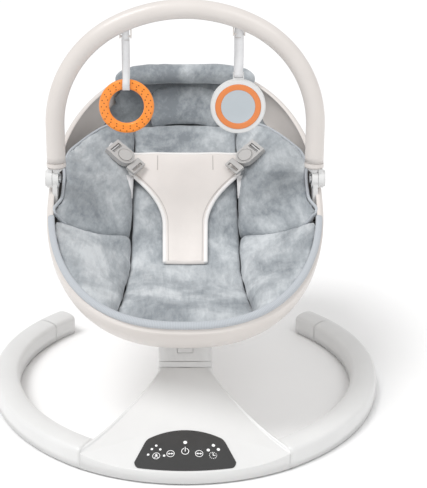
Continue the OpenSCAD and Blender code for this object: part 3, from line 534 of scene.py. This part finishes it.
OUT = housing_outline()
rows = [[Vector((e[0].x, e[0].y, GAP)) for e in OUT]]
rows += [[Vector((e[0].x, e[0].y, e[0].z - 1.0)) for e in OUT]]
rows += [[mix(e[0], e[1], t) for e in OUT] for t in (0.0, 0.012, 0.25, 0.5, 0.75, 0.985)]
rows += [[mast_skin(e, k / 40, MAST_R) for e in OUT] for k in range(41)]
rows += [[housing_inside(mast_skin(e, k / 8, MAST_R - WALL), k / 8) for e in OUT] for k in range(8, -1, -1)]
rows += [[housing_inside(mix(e[0], e[1], t), 0) for e in OUT] for t in (0.5, 0.0)]
rows += [[Vector((p.x, p.y, GAP)) for p in (housing_inside(e[0], 0) for e in OUT)]]
v, f = skin([[p + Vector((0, RING_Y, 0)) for p in r] for r in rows], loop=True)
housing = make("housing_skin", [p / 1000 for p in v], f, WHITE, "base")
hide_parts("base_housing")

# ---------- icons on the panel, laid on its slope ----------
def on_panel(x, y, lift=0.12):
    up = PLATE_R - math.hypot(x, y - PLATE_Y)
    return ring(x, y, EDGE_Z + 1.2 + up * math.tan(BAND_SLOPE) + lift)


ICONS_V, ICONS_F = [], []
ICON_Y = 0.92                   # the slope shortens a circle's plan by this much


def icon_strip(points, width, closed=False):
    """A flat line of a given width through points in the panel's plan."""
    n = len(points)
    base = len(ICONS_V)
    for k, (x, y) in enumerate(points):
        a = points[(k - 1) % n] if closed or k else points[k]
        b = points[(k + 1) % n] if closed or k < n - 1 else points[k]
        dx, dy = b[0] - a[0], b[1] - a[1]
        d = math.hypot(dx, dy) or 1
        for s in (-0.5, 0.5):
            ICONS_V.append(on_panel(x - dy / d * width * s, y + dx / d * width * s))
    for k in range(n if closed else n - 1):
        a, b = base + 2 * k, base + 2 * ((k + 1) % n)
        ICONS_F.append((a, b, b + 1, a + 1))


def icon_arc(cx, cy, r, width, a0=0, a1=360, n=28):
    whole = a1 - a0 >= 360
    pts = []
    for k in range(n if whole else n + 1):
        a = math.radians(mix(a0, a1, k / n))
        pts.append((cx + r * math.cos(a), cy + r * ICON_Y * math.sin(a)))
    icon_strip(pts, width, closed=whole)


def icon_dot(cx, cy, r):
    base = len(ICONS_V)
    for k in range(20):
        a = math.radians(18 * k)
        ICONS_V.append(on_panel(cx + r * math.cos(a), cy + r * ICON_Y * math.sin(a)))
    ICONS_F.append(tuple(range(base, base + 20)))


# sway level, with its five lamps
icon_arc(-39.4, -298.5, 4.9, 0.75)
icon_arc(-39.4, -296.9, 0.9, 0.8)
icon_strip([(-39.4, -298), (-40.6, -300.4), (-42.4, -301.2)], 0.8)
icon_strip([(-39.4, -298), (-38.2, -300.4), (-36.4, -301.2)], 0.8)
icon_strip([(-41.6, -298.4), (-37.2, -298.4)], 0.6)
for p in ((-50.4, -295.7), (-45.5, -287.8), (-39.6, -283), (-34, -289.1), (-28.7, -298.8)):
    icon_dot(*p, 1.75)
# two selector circles with a line of two arrows
for cx, cy in ((-20, -296.2), (19, -296.1)):
    icon_arc(cx, cy, 5.1, 0.75)
    icon_strip([(cx - 3.9, cy), (cx + 3.9, cy)], 1.0)
    for s in (-1, 1):
        icon_strip([(cx + s * 1.2, cy + 1.3), (cx + s * 3.2, cy), (cx + s * 1.2, cy - 1.3)], 0.7)
# power, with its lamp
icon_arc(0, -293, 4.9, 0.9, 110, 430)
icon_strip([(0, -286.4), (0, -293.4)], 1.0)
icon_dot(0, -279.6, 2.6)
# timer, with its three lamps
for k in range(12):
    icon_arc(38, -297.8, 5.0, 0.9, 30 * k, 30 * k + 14, 4)
icon_strip([(38, -293.8), (38, -297.9)], 1.0)
icon_strip([(37.6, -297.8), (41.2, -297.8)], 1.0)
for p in ((31.5, -290.2), (38.6, -282.7), (45.3, -288.4)):
    icon_dot(*p, 2.3)
icons = make("panel_icons", ICONS_V, ICONS_F, ICON, "base", flat=True)


# ---------- seat shell ----------
HALF_W, FOOT, HEAD, DEPTH = 205, 281, 322, 134
FOOT_P, HEAD_P, DEPTH_P = 2.42, 2.2, 2.05        # powers of the superellipses
BULGE, RIM, LIP, SHELL_WALL = -4, 0.985, 7, 4    # level of the widest line, scale of the rim, its width


def signed_pow(v, p):
    return math.copysign(abs(v) ** p, v)


def egg(a, k, n, inset=0):
    """A point on an egg-shaped level curve of the shell: angle, scale, level and inset."""
    t = math.radians(a)
    p, long = (FOOT_P, FOOT) if math.sin(t) < 0 else (HEAD_P, HEAD)
    x = (HALF_W * k - inset) * signed_pow(math.cos(t), 2 / p)
    return x, (long * k - inset) * signed_pow(math.sin(t), 2 / p), n


def shell_profile(t, depth):
    """Half the shell's profile as (scale, level), from the rim past the widest line to the bottom."""
    if t < 0.2:
        u = 1 - t / 0.2
        return 1 - (1 - RIM) * u * u, BULGE * (1 - u)
    a = math.radians(90 * (t - 0.2) / 0.8)
    return max(0, math.cos(a)) ** (2 / DEPTH_P), BULGE - (depth + BULGE) * math.sin(a) ** (2 / DEPTH_P)


def egg_row(k, n, inset):
    return [seat(*egg(360 * (i + 0.5) / 240, max(k, 0.02), n, inset)) for i in range(240)]


levels = [1 - (1 - math.cos(math.pi * k / 44)) / 2 for k in range(45)]
rows = [egg_row(*shell_profile(t, DEPTH), 0) for t in levels]
RIM_CROWN = ((0.8, 0.3), (1.5, 1.0), (1.9, 2.2), (2, 3.5), (1.9, 5), (1.3, 6.4), (0, LIP))
rows += [egg_row(RIM, n, i) for n, i in RIM_CROWN]
levels = [0.04 + 0.96 * k / 22 for k in range(23)]
rows += [egg_row(*shell_profile(t, DEPTH - SHELL_WALL), SHELL_WALL) for t in levels]
v, f = skin(rows)
shell = make("shell_skin", v, f, BEIGE, "seat")
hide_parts("seat_shell")

# ---------- toy bar ----------
HUB_Y, BAR_HALF, COLLAR, LEG_TOP = 6, 192, 348, 411.8
SHOULDER, CROWN, TUBE, BORE = 166.6, 222.7, 14, 9.5      # radii
BEND_X = BAR_HALF - SHOULDER
BEND_A = math.degrees(math.asin(BEND_X / (CROWN - SHOULDER)))
CROWN_Z = LEG_TOP - (CROWN - SHOULDER) * math.cos(math.radians(BEND_A))
# the right half of the bar's centre line as (x, z, angle): leg, shoulder, crown
half = [(BAR_HALF, mix(COLLAR + 9, LEG_TOP, k / 6), 0) for k in range(6)]
for k in range(41):
    a = (90 - BEND_A) * k / 40
    t = math.radians(a)
    half.append((BEND_X + SHOULDER * math.cos(t), LEG_TOP + SHOULDER * math.sin(t), a))
for k in range(1, 17):
    a = 90 - BEND_A + BEND_A * k / 16
    t = math.radians(a)
    half.append((CROWN * math.cos(t), CROWN_Z + CROWN * math.sin(t), a))
route = half + [(-p[0], p[1], 180 - p[2]) for p in half[-2::-1]]


def bar_row(p, r):
    out = []
    h = math.radians(p[2])
    for k in range(40):
        t = math.radians(9 * k)
        o = r * math.cos(t)
        out.append(ring(p[0] + o * math.cos(h), HUB_Y + r * math.sin(t), p[1] + o * math.sin(h)))
    return out


v, f = skin([bar_row(p, TUBE) for p in route] + [bar_row(p, BORE) for p in route[::-1]], loop=True)
bar = make("bar_skin", v, f, BEIGE, "toy_bar")
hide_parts("toy_bar")


# ---------- the padded liner ----------
PAD_DEEP, PAD_DEEP_S = -86, -60
PAD_RIM = 5                     # level of the cushions' tops at the rim


def pad_mid(s):
    """Level of the cushions' tops along the seat's middle."""
    d = s - PAD_DEEP_S
    return PAD_DEEP - 0.12 * d + 0.32 * (math.hypot(d, 35) - 35)


def rim_half(s):
    """Half-width of the rim at a distance along the seat."""
    p, long = (FOOT_P, FOOT * RIM) if s < 0 else (HEAD_P, HEAD * RIM)
    return HALF_W * RIM * max(0.0, 1 - (abs(s) / long) ** p) ** (1 / p)


def pad_top(x, s):
    u = min(1, abs(x) / max(1, rim_half(s)))
    return pad_mid(s) + (PAD_RIM - pad_mid(s)) * u ** 2.4


def seam_half(s):
    """Half-width of the centre cushion, out to the seams."""
    return 83 + (16 * ((-65 - s) / 175) ** 1.3 if s < -65 else 0)


def hub_bend(s):
    """How far the cushions bend in beside the toy bar's hubs."""
    d = s - 12
    return 11.9 * math.exp(-(d / 62) ** 4 if d > 0 else -(-d / 37) ** 2.6)


def pad_edge(s):
    return rim_half(s) - 3 - hub_bend(s)


def split_line(u):
    """Where the lower and the upper wing meet, from the seam (u = 0) to the rim (u = 1)."""
    return -5 - 41 * u


def wing_top(u):
    """Head end of the upper wing."""
    return 200 - 134 * u ** 3.2


def rounded(u, v, p):
    """Pulls the corners of the unit square in, as on a superellipse of power p."""
    x, y = 2 * u - 1, 2 * v - 1
    m = max(abs(x), abs(y))
    if m < 1e-6:
        return u, v
    k = m / (abs(x) ** p + abs(y) ** p) ** (1 / p)
    return (x * k + 1) / 2, (y * k + 1) / 2


def edge_drop(gap, turn, sag, reach):
    """How far a cushion's top falls at a distance from its seam: a tight turn, and a long soft sag."""
    tight = 1 - math.sqrt(1 - (1 - min(1, gap / 11)) ** 2)
    return turn * tight + sag * (1 - min(1, gap / reach)) ** 2


def cushion(name, place, size, drops, rise, thick, nu=30, nv=44, corner=16.0, lift=None, look=PLUSH):
    """A crowned closed form over place(u, v), which gives (x, s).

    drops holds (turn, sag) for the sides u=0, u=1, v=0 and v=1; near an edge the form thins to 3 mm."""
    top, low, pinned = [], [], []
    for j in range(nv + 1):
        for i in range(nu + 1):
            # points crowd towards the edges
            u = mix(i / nu, (1 - math.cos(math.pi * i / nu)) / 2, 0.75)
            v = mix(j / nv, (1 - math.cos(math.pi * j / nv)) / 2, 0.75)
            x, s = place(*rounded(u, v, corner))
            gaps = (u * size[0], (1 - u) * size[0], v * size[1], (1 - v) * size[1])
            fall = sum(edge_drop(g, d[0], d[1], 0.45 * size[k // 2]) ** 2.5
                       for k, (g, d) in enumerate(zip(gaps, drops))) ** 0.4
            level = pad_top(x, s) + rise - fall + (lift(x, s, u, v) if lift else 0)
            near = min(gaps)
            deep = 3 + (thick - 3) * math.sqrt(min(1, near / 16))
            top.append(seat(x, s, level))
            low.append(seat(x, s, level - deep))
            pinned.append(1 - smooth((near - 5) / 15))
    o = make(name, top + low, slab_faces(nu, nv), look, "seat")
    o["pins"] = pinned + pinned
    return o


PRESSURE = 4.0
LAST_FRAME = 20
PUFFED = []


def puff(o, cap, wrinkle, seed):
    """Remeshes a cushion and sets it up as cloth under pressure; cap is how far a point may go, in mm."""
    pins = list(o["pins"])
    del o["pins"]
    tree = KDTree(len(o.data.vertices))
    for v in o.data.vertices:
        tree.insert(v.co, v.index)
    tree.balance()
    r = o.modifiers.new("remesh", "REMESH")
    r.mode = "VOXEL"
    r.voxel_size = 0.0045
    dg = bpy.context.evaluated_depsgraph_get()
    me = bpy.data.meshes.new_from_object(o.evaluated_get(dg))
    o.modifiers.clear()
    o.data = me
    group = o.vertex_groups.new(name="pin")
    held = []
    for v in me.vertices:
        w = pins[tree.find(v.co)[1]]
        held.append(w)
        group.add([v.index], w, "REPLACE")
    rest = [v.co.copy() for v in me.vertices]
    c = o.modifiers.new("cloth", "CLOTH")
    c.settings.quality = 4
    c.settings.mass = 0.25
    c.settings.tension_stiffness = 12
    c.settings.compression_stiffness = 4
    c.settings.bending_stiffness = 0.4
    c.settings.use_pressure = True
    c.settings.uniform_pressure_force = PRESSURE
    c.settings.vertex_group_mass = "pin"
    c.settings.effector_weights.gravity = 0
    c.collision_settings.use_self_collision = False
    PUFFED.append((o, rest, held, cap, wrinkle, seed))


def run_cloth():
    """Runs the cloth, keeps the shapes it ends in, smooths them and adds soft dents."""
    if not PUFFED:
        return
    scene = bpy.context.scene
    for k in range(1, LAST_FRAME + 1):
        scene.frame_set(k)
    dg = bpy.context.evaluated_depsgraph_get()
    done = [[v.co.copy() for v in p[0].evaluated_get(dg).data.vertices] for p in PUFFED]
    for (o, rest, held, cap, wrinkle, seed), moved in zip(PUFFED, done):
        o.modifiers.clear()
        for v, a, b, w in zip(o.data.vertices, rest, moved, held):
            d = b - a
            reach = cap / 1000 * (1 - w)
            if d.length > reach:
                d = d.normalized() * (reach if reach > 0 else 0)
            v.co = a + d
        sm = o.modifiers.new("smooth", "SMOOTH")
        sm.iterations = 6
        sm.factor = 0.5
        sub = o.modifiers.new("sub", "SUBSURF")
        sub.levels = sub.render_levels = 1
        dg = bpy.context.evaluated_depsgraph_get()
        me = bpy.data.meshes.new_from_object(o.evaluated_get(dg))
        o.modifiers.clear()
        o.data = me
        o.vertex_groups.clear()
        for p in me.polygons:
            p.use_smooth = True
        me.calc_loop_triangles()
        shift = []
        for v in me.vertices:
            q = v.co
            soft = noise.noise(q * 28 + Vector((seed, 0, 0))) * 1.5
            soft += noise.noise(q * 75 + Vector((0, seed, 0))) * 0.7
            shift.append(v.normal * soft * wrinkle / 1000)
        for v, d in zip(me.vertices, shift):
            v.co += d
    scene.frame_set(1)


def lower_wing(side):
    def place(u, v):
        s = mix(-250 + 22 * u ** 2, split_line(u) + 1.2, v)
        return side * mix(seam_half(s) - 1.4, pad_edge(s) - 3.5, u), s
    return place


def upper_wing(side):
    def place(u, v):
        s = mix(split_line(u) - 1.2, wing_top(u), v)
        return side * mix(seam_half(s) - 1.4, pad_edge(s) - 2, u), s
    return place


# (turn, sag) of a cushion's sides
SEAM, EDGE, PLAIN, ROUND, FOOT_SIDE = (9, 12), (9, 1), (6, 4), (9, 4), (6, 3)
SOFT = []
for side, hand in SIDES:
    sides = (SEAM, EDGE, FOOT_SIDE, SEAM)
    a = cushion(hand + "_lower_wing_cushion", lower_wing(side), (112, 205), sides, 9, 34)
    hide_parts(hand + "_lower_wing")
    puff(a, 8, wrinkle=1.0, seed=3.1 * side)
    sides = (SEAM, EDGE, SEAM, EDGE)
    b = cushion(hand + "_upper_wing_cushion", upper_wing(side), (100, 200), sides, 9, 34)
    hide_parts(hand + "_upper_wing")
    puff(b, 9, wrinkle=1.0, seed=7.7 * side)
    SOFT += [a, b]


def centre_place(u, v):
    s = mix(-263, 213 + 12 * (1 - (2 * u - 1) ** 2), v)
    return (2 * u - 1) * (seam_half(s) + 1.2), s


sides = ((9, 8), (9, 8), FOOT_SIDE, (10, 4))
centre = cushion("seat_cushion", centre_place, (168, 470), sides, -3, 26, nu=36, nv=100, corner=30)
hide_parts("seat_pad")
puff(centre, 3.5, wrinkle=0.9, seed=11.0)


def head_place(u, v):
    s = mix(192, 306, v)
    return (2 * u - 1) * (rim_half(s) - 9), s


def head_lift(x, s, u, v):
    # recessed behind the pillow, and up to the rim behind the roll
    deep = -30 + 12 * smooth((s - 225) / 40) - 0.25 * (pad_top(x, s) - pad_top(0, s))
    return mix(deep, 4 - pad_top(x, s), smooth((s - 235) / 45))


# the head panel is drawn in the darker plush: painted shade of its recess behind the pillow and the roll
head = cushion("head_panel_cushion", head_place, (260, 114), (PLAIN,) * 4, 0, 11, nu=36, nv=30,
               lift=head_lift, look=SHADED_PLUSH)
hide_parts("head_pad")
puff(head, 3, wrinkle=1.2, seed=5.0)


def pillow_place(u, v):
    arch = 1 - (2 * u - 1) ** 2
    return (2 * u - 1) * 58.5, mix(214 + 8 * arch, 266 + 7 * arch, v)


def pillow_lift(x, s, u, v):
    return mix(0, 32, v) - (pad_top(x, s) - pad_top(0, s)) - 3 * abs(2 * u - 1) ** 2


pillow = cushion("head_pillow_cushion", pillow_place, (117, 68), (ROUND,) * 4, 2, 22, corner=6,
                 lift=pillow_lift)
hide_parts("head_pillow")
puff(pillow, 6, wrinkle=1.0, seed=2.0)

# the cover's backing, which closes the seams between the cushions; it is drawn in the darker plush, painted
# shade in the seams
BACK_U, BACK_V = 30, 60
back_top, back_low = [], []
for j in range(BACK_V + 1):
    s = mix(-238, 206, j / BACK_V)
    for i in range(BACK_U + 1):
        across = mix(-1, 1, i / BACK_U)
        x = across * (pad_edge(s) - 16)
        drop = 31 + 5 * abs(across) ** 3
        back_top.append(seat(x, s, pad_top(x, s) - drop))
        back_low.append(seat(x, s, pad_top(x, s) - drop - 3))
backing = make("cover_backing", back_top + back_low, slab_faces(BACK_U, BACK_V), SHADED_PLUSH, "seat")

# the roll across the head end, its ends drawn down along the rim
ROLL_STEPS, ROLL_SIDES = 48, 28
roll_path = []
for k in range(ROLL_STEPS + 1):
    t = 2 * k / ROLL_STEPS - 1
    x = 108 * math.sin(t * math.pi / 2 * 0.98)
    roll_path.append(seat(x, 268 - 20 * abs(t) ** 3.2, 19.5 - 9 * abs(t) ** 5))


def roll_section(k):
    t = abs(2 * k / ROLL_STEPS - 1)
    r = 0.0168 * max(0.1, (1 - 0.35 * t ** 3 - 0.6 * t ** 10)) ** 0.7
    return circle(r, ROLL_SIDES, r * 0.98)


roll = sweep("head_roll_cushion", roll_path, roll_section, PLUSH, "seat", up=SEAT_UP)
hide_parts("head_bolster")
roll["pins"] = [0.0 if 3 < k < ROLL_STEPS - 3 else 1.0 for k in range(ROLL_STEPS + 1) for _ in range(ROLL_SIDES)]
puff(roll, 2.5, wrinkle=0.7, seed=9.0)
run_cloth()

# ---------- edge tape ----------
def tape(name, points, section, *cad):
    o = sweep(name, points, section, TAPE, "seat", up=SEAT_UP)
    if cad:
        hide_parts(*cad)
    return o


def rim_point(a, inset, n):
    x, s, _ = egg(a, RIM, 0, inset)
    return seat(x - math.copysign(hub_bend(s), x), s, n)


# round the foot, from the outer end of one split to the other
START = -9
foot_path = [rim_point(mix(START, -180 - START, k / 200), 4.2, 4.6) for k in range(201)]
# from the inside, where it tucks under the cushions, over the top and down the outside
TAPE_SECTION = [(0.003, -0.0024), (0.0046, 0.0), (0.0042, 0.0040), (0.0022, 0.0052), (-0.0010, 0.0050),
                (-0.0034, 0.0040), (-0.0049, 0.0022), (-0.0052, 0.0002), (-0.0046, -0.0024)]
tape("foot_binding", foot_path, TAPE_SECTION, "pad_binding")
# round each upper wing: out of the split, up along the rim, and in across the wing's head end
for side, hand in SIDES:
    pts = []
    for k in range(9):
        u = mix(0.86, 1, k / 8)
        s = split_line(u) + 0.5 + 3 * smooth((u - 0.88) / 0.12)
        x = mix(seam_half(s), pad_edge(s) - 2.5, u) - 2 * smooth((u - 0.92) / 0.08)
        pts.append(seat(side * x, s, pad_top(x, s) - 9 + 10 * smooth((u - 0.86) / 0.14)))
    for k in range(2, 34):
        s = mix(split_line(1), 65, k / 33)
        x = pad_edge(s) - 2.2 - 2 * math.exp(-((s - split_line(1)) / 7) ** 2)
        pts.append(seat(side * x, s, pad_top(x, s) + 2.2))
    for k in range(1, 21):
        u = 1 - k / 24
        s = wing_top(u)
        x = mix(seam_half(s), pad_edge(s) - 2.2, u)
        pts.append(seat(side * x, s + 1.8, pad_top(x, s) + 1.0 - 3 * (1 - u)))
    tape(hand + "_wing_binding", spline(pts[::2], 5), circle(0.0024, 12, 0.0028))

# ---------- harness ----------
PAD_FOOT, PAD_HEAD, PAD_HALF = -69, 148, 92


def crotch_half(s):
    """Half-width of the T-shaped pad."""
    if s > 112:
        return PAD_HALF - 7.8 * ((s - 112) / 36) ** 3
    if s > 10:
        return 31 + 61 * ((s - 10) / 102) ** 1.9
    return 31 - (10 - s) / 70


def tpad_level(x, s):
    # cloth pulled straight across between its two shoulders
    return pad_top(x, s) - 6 * smooth((abs(x) - 40) / 52)


def shoulder_drop(x, s):
    """How far the pad's shoulders are set back towards the foot."""
    return 5 * (x / PAD_HALF) ** 2 * smooth((s - 100) / 48)


NU, NV = 26, 90
top, low = [], []
for j in range(NV + 1):
    along = mix(PAD_FOOT, PAD_HEAD, j / NV)
    w = crotch_half(along)
    for i in range(NU + 1):
        q = 2 * i / NU - 1
        q = math.copysign(1 - (1 - abs(q)) ** 1.35, q)
        x = w * q
        edge = max(0.0, 1 - abs(q) ** 14) ** 0.5
        ends = max(0.0, 1 - abs(2 * j / NV - 1) ** 60) ** 0.5
        soft = 1.1 * math.exp(-((abs(q) - 0.62) / 0.3) ** 2)
        s = along - shoulder_drop(x, along)
        base = tpad_level(x, s)
        top.append(seat(x, s, base + 3.0 + (4.2 + soft) * edge * ends))
        low.append(seat(x, s, base + 2.0))
tpad = make("harness_pad", top + low, slab_faces(NU, NV), HARNESS, "seat")
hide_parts("crotch_pad")

for side, hand in SIDES:
    pts = []
    for k in range(41):
        s = mix(PAD_FOOT + 1, PAD_HEAD - 2, k / 40)
        w = crotch_half(s)
        pts.append((side * (w + 0.8), s - shoulder_drop(w, s), tpad_level(w, s) + 4.6))
    line = spline([seat(*p) for p in pts], 3)
    o = sweep(hand + "_harness_piping", line, circle(0.0032, 12, 0.0026), PIPING, "seat", up=SEAT_UP)
    # stitch line just inside the piping
    pts = []
    for k in range(61):
        s = mix(PAD_FOOT + 3, PAD_HEAD - 5, k / 60)
        w = crotch_half(s)
        pts.append((side * (w - 4.6), s - shoulder_drop(w, s), tpad_level(w - 4.6, s) + 7.6))
    line = spline([seat(*p) for p in pts], 2)
    o = sweep(hand + "_harness_stitch", line, circle(0.00045, 6), THREAD, "seat", up=SEAT_UP)
line = []
for k in range(31):
    x = mix(-85, 85, k / 30)
    line.append(seat(x, PAD_HEAD - 0.4 - shoulder_drop(x, PAD_HEAD), tpad_level(x, PAD_HEAD) + 5))
o = sweep("harness_top_piping", line, circle(0.0026, 12, 0.0024), PIPING, "seat", up=SEAT_UP)
# the two short rows of tacking
for side, hand in SIDES[::-1]:
    line = [seat(side * 44, s, tpad_level(44, s) + 8.1) for s in [mix(112, 140, k / 10) for k in range(11)]]
    o = sweep("harness_tack_" + hand, line, circle(0.0007, 6), THREAD, "seat", up=SEAT_UP)

# the right buckle's place and turn, and the cushions' slope under it, as in the CAD source
BX, BS, BT = 97, 121, math.radians(38)
LX = math.atan((pad_top(BX + 15, BS) - pad_top(BX - 15, BS)) / 30)
LS = math.atan((pad_top(BX, BS + 15) - pad_top(BX, BS - 15)) / 30)


def buckle(x, y, z, side):
    """A buckle's own coordinates to the world, in metres."""
    x, y = x * math.cos(BT) - y * math.sin(BT), x * math.sin(BT) + y * math.cos(BT)
    x, z = x * math.cos(LX) - z * math.sin(LX), x * math.sin(LX) + z * math.cos(LX)
    y, z = y * math.cos(LS) - z * math.sin(LS), y * math.sin(LS) + z * math.cos(LS)
    return seat(side * (BX + x), BS + y, pad_top(BX, BS) + 11 + z)


def buckle_bars(name, bars, side, look):
    """Small bars on a buckle, each (x0, x1, y0, y1, z0, z1)."""
    v, f = [], []
    for x0, x1, y0, y1, z0, z1 in bars:
        k = len(v)
        for z in (z0, z1):
            for x, y in ((x0, y0), (x1, y0), (x1, y1), (x0, y1)):
                v.append(buckle(x, y, z, side))
        q = [(3, 2, 1, 0), (4, 5, 6, 7), (0, 1, 5, 4), (1, 2, 6, 5), (2, 3, 7, 6), (3, 0, 4, 7)]
        f += [tuple(k + i for i in (c if side > 0 else reversed(c))) for c in q]
    o = make(name, v, f, look, "seat", flat=True)
    b = o.modifiers.new("bevel", "BEVEL")
    b.width = 0.0003
    b.segments = 1


for side, hand in SIDES:
    # raised teeth beside both slots, and a ring round the button
    spans = [(-9 + 2.6 * k, -7.6 + 2.6 * k) for k in range(8)]
    teeth = [(15.6, 17.4, *span, 8.6, 9.7) for span in spans]
    teeth += [(-31.4, -29.6, *span, 6.2, 7.2) for span in spans]
    buckle_bars(hand + "_buckle_teeth", teeth, side, BUCKLE)
    turns = [math.radians(10 * k) for k in range(37)]
    pts = [buckle(12.6 * math.cos(a), 12.6 * math.sin(a), 9.0, side) for a in turns]
    o = sweep(hand + "_buckle_ring", pts, circle(0.0009, 8), BUCKLE, "seat", up=SEAT_UP)
    # the strap's loop through the outer slot, folded back on itself
    strap = [(41, -10), (38, -5.5), (34, -2.2), (29, -1.3), (24, -1.2), (18, -1.4), (12, -3.0), (2, -4.2)]
    path = spline([buckle(x, 0, z, side) for x, z in strap], 6)
    across = (buckle(0, 1, 0, side) - buckle(0, 0, 0, side)).normalized()
    ends = zip([path[0]] + path[:-1], path[1:] + [path[-1]])
    normals = [(b - a).normalized().cross(across) for a, b in ends]
    o = sweep(hand + "_strap_loop", path, band(0.0098, 0.0006), WEB, "seat", up=lambda k, n=normals: n[k])
    # wedge of strap that comes out of the seam under the pad's shoulder
    wedge = [(93, 99, 1.5), (81.5, 99, 1.5), (82.4, 64, -7.0), (84.4, 64, -7.0)]
    v = [seat(side * x, s, pad_top(x, s) + n) for x, s, n in wedge]
    v += [seat(side * x, s, pad_top(x, s) + n - 1.4) for x, s, n in wedge]
    o = make(hand + "_strap_wedge", v, BOX_FACES, WEB, "seat",
             uvs=[(0, 0), (0.01, 0), (0.01, 0.03), (0, 0.03)] * 2)

# ---------- toys ----------
TOY_R, RING_X, MIRROR_X, TOY_Z = 40.5, -86, 77.5, 442


def bar_under(x):
    """Height of the toy bar's underside."""
    r = math.sqrt(CROWN * CROWN - x * x)
    return CROWN_Z + r - TUBE * CROWN / r


def ribbon(name, x0, low_z, low_r, body, cad, turn, half_w):
    """A tape that leaves the bar as one stitched band, then hangs in two layers that twist a little."""
    topz = bar_under(x0)
    path, twist = [], []
    # (height, distance from the middle), from the bar down and round the toy's rim
    front = [(topz + 3, 1.2), (topz - 6, 1.4), (topz - 14, 1.5),
             (mix(topz, low_z, 0.35), 2.4), (mix(topz, low_z, 0.6), 2.6), (low_z + low_r + 8, 4.2),
             (low_z + low_r * 0.55, low_r * 0.95), (low_z, low_r), (low_z - low_r * 0.75, low_r * 0.75)]
    pts = [(-y, z) for z, y in front] + [(0, low_z - low_r)] + [(y, z) for z, y in front[::-1]]
    line = spline([(0, y, z) for y, z in pts], 6)
    n = len(line)
    for k, p in enumerate(line):
        h = (topz - p.z) / (topz - low_z)
        swing = math.sin(math.pi * min(1, max(0, h)))
        sign = 1 if k < n / 2 else -1
        twist.append(math.radians(turn) * swing * sign)
        path.append(ring(x0 + 1.2 * sign * swing, HUB_Y + p.y, p.z))
    rings, uvs, run = [], [], 0.0
    for k, p in enumerate(path):
        if k:
            run += (p - path[k - 1]).length
        t = (path[min(k + 1, n - 1)] - path[max(k - 1, 0)]).normalized()
        side = Vector((math.cos(twist[k]), math.sin(twist[k]), 0))
        side = (side - t * side.dot(t)).normalized()
        up = side.cross(t).normalized()
        rings.append([p + side * a + up * b for a, b in band(half_w, 0.0004)])
        uvs += [(run, 0), (run, 0.012), (run, 0.0125), (run, 0)]
    v, f = skin(rings)
    o = make(name, v, f, WEB, body, uvs)
    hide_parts(cad)
    # the row of stitches that gathers both layers
    st = [ring(x0 + mix(-6, 6, k / 8), HUB_Y - 2.1, topz - 12) for k in range(9)]
    q = sweep(name + "_stitch", st, circle(0.0004, 6), THREAD, body)


ribbon("ring_tape", RING_X, TOY_Z + TOY_R - 7.5, 8.8, "ring_toy", "ring_ribbon", 28, 0.0053)
ribbon("mirror_tape", MIRROR_X, TOY_Z + TOY_R + 8, 4.9, "mirror_toy", "mirror_ribbon", -22, 0.0062)

# small holes in both faces of the teething ring, drawn as flat discs painted dark orange: painted shade of the
# holes
DOT_R, DOT_Y = 1.05, 4.62       # a hole's radius, and its distance from the ring's middle plane
v, f = [], []
for face in (-1, 1):
    for row, (r, count) in enumerate(((29.4, 18), (33, 20), (36.6, 24))):
        for k in range(count):
            a = 2 * math.pi * (k + 0.5 * (row % 2)) / count
            cx, cz = RING_X + r * math.cos(a), TOY_Z + r * math.sin(a)
            base = len(v)
            for j in range(8):
                b = 2 * math.pi * j / 8
                v.append(ring(cx + DOT_R * math.cos(b), HUB_Y + face * DOT_Y, cz + DOT_R * math.sin(b)))
            f.append(tuple(base + j for j in (range(8) if face < 0 else reversed(range(8)))))
dots = make("teether_hole_shade", v, f, HOLE_SHADE, "ring_toy", flat=True)

# ---------- floor, light and camera ----------
def floor_material():
    m = material("floor", (0.97, 0.97, 0.97), 0.8)
    b = principled(m)
    tex = node(m, "ShaderNodeTexCoord")
    fine = node(m, "ShaderNodeTexNoise", Scale=6.0, Detail=2.0)
    link(m, tex, "Object", fine, "Vector")
    r = ramp(m, [(0.3, (0.965, 0.965, 0.965)), (0.7, (0.975, 0.975, 0.975))])
    link(m, fine, "Fac", r, "Fac")
    link(m, r, "Color", b, "Base Color")
    return m


FLOOR_SIZE = 80
bpy.ops.mesh.primitive_plane_add(size=FLOOR_SIZE, location=(0, 0, 0))
floor = bpy.context.object
floor.name = "floor"
floor.data.materials.append(floor_material())

world = bpy.data.worlds.new("world")
bpy.context.scene.world = world
world.use_nodes = True
world.node_tree.nodes["Background"].inputs["Color"].default_value = (1, 1, 1, 1)
world.node_tree.nodes["Background"].inputs["Strength"].default_value = 0.68


def area(name, place, target, size, power):
    l = bpy.data.lights.new(name, "AREA")
    l.size = size
    l.energy = power
    o = bpy.data.objects.new(name, l)
    bpy.context.scene.collection.objects.link(o)
    o.location = place
    o.rotation_euler = (Vector(target) - Vector(place)).to_track_quat("-Z", "Y").to_euler()


SUN_FROM = Vector((-1.0, -0.55, 1.9))
sun = bpy.data.lights.new("sun", "SUN")
sun.energy = 1.55
sun.angle = math.radians(28)
lamp = bpy.data.objects.new("sun", sun)
bpy.context.scene.collection.objects.link(lamp)
lamp.rotation_euler = (-SUN_FROM).to_track_quat("-Z", "Y").to_euler()
area("fill", (1.0, -1.3, 2.0), (0, 0.1, 0.35), 1.0, 9)

# the camera stands in front, a little under two metres off, and looks down at the seat
EYE_BACK, EYE_HIGH, EYE_DOWN = 1.894, 0.929, 20.3
cam = bpy.data.cameras.new("camera")
cam.lens = 98.1
cam.sensor_width = 36
cam.shift_x = 0.058
eye = bpy.data.objects.new("camera", cam)
bpy.context.scene.collection.objects.link(eye)
eye.location = (0, -EYE_BACK + RING_Y / 1000, EYE_HIGH)
eye.rotation_euler = (math.radians(90 - EYE_DOWN), 0, 0)
bpy.context.scene.camera = eye
bpy.context.scene.view_settings.view_transform = "Standard"
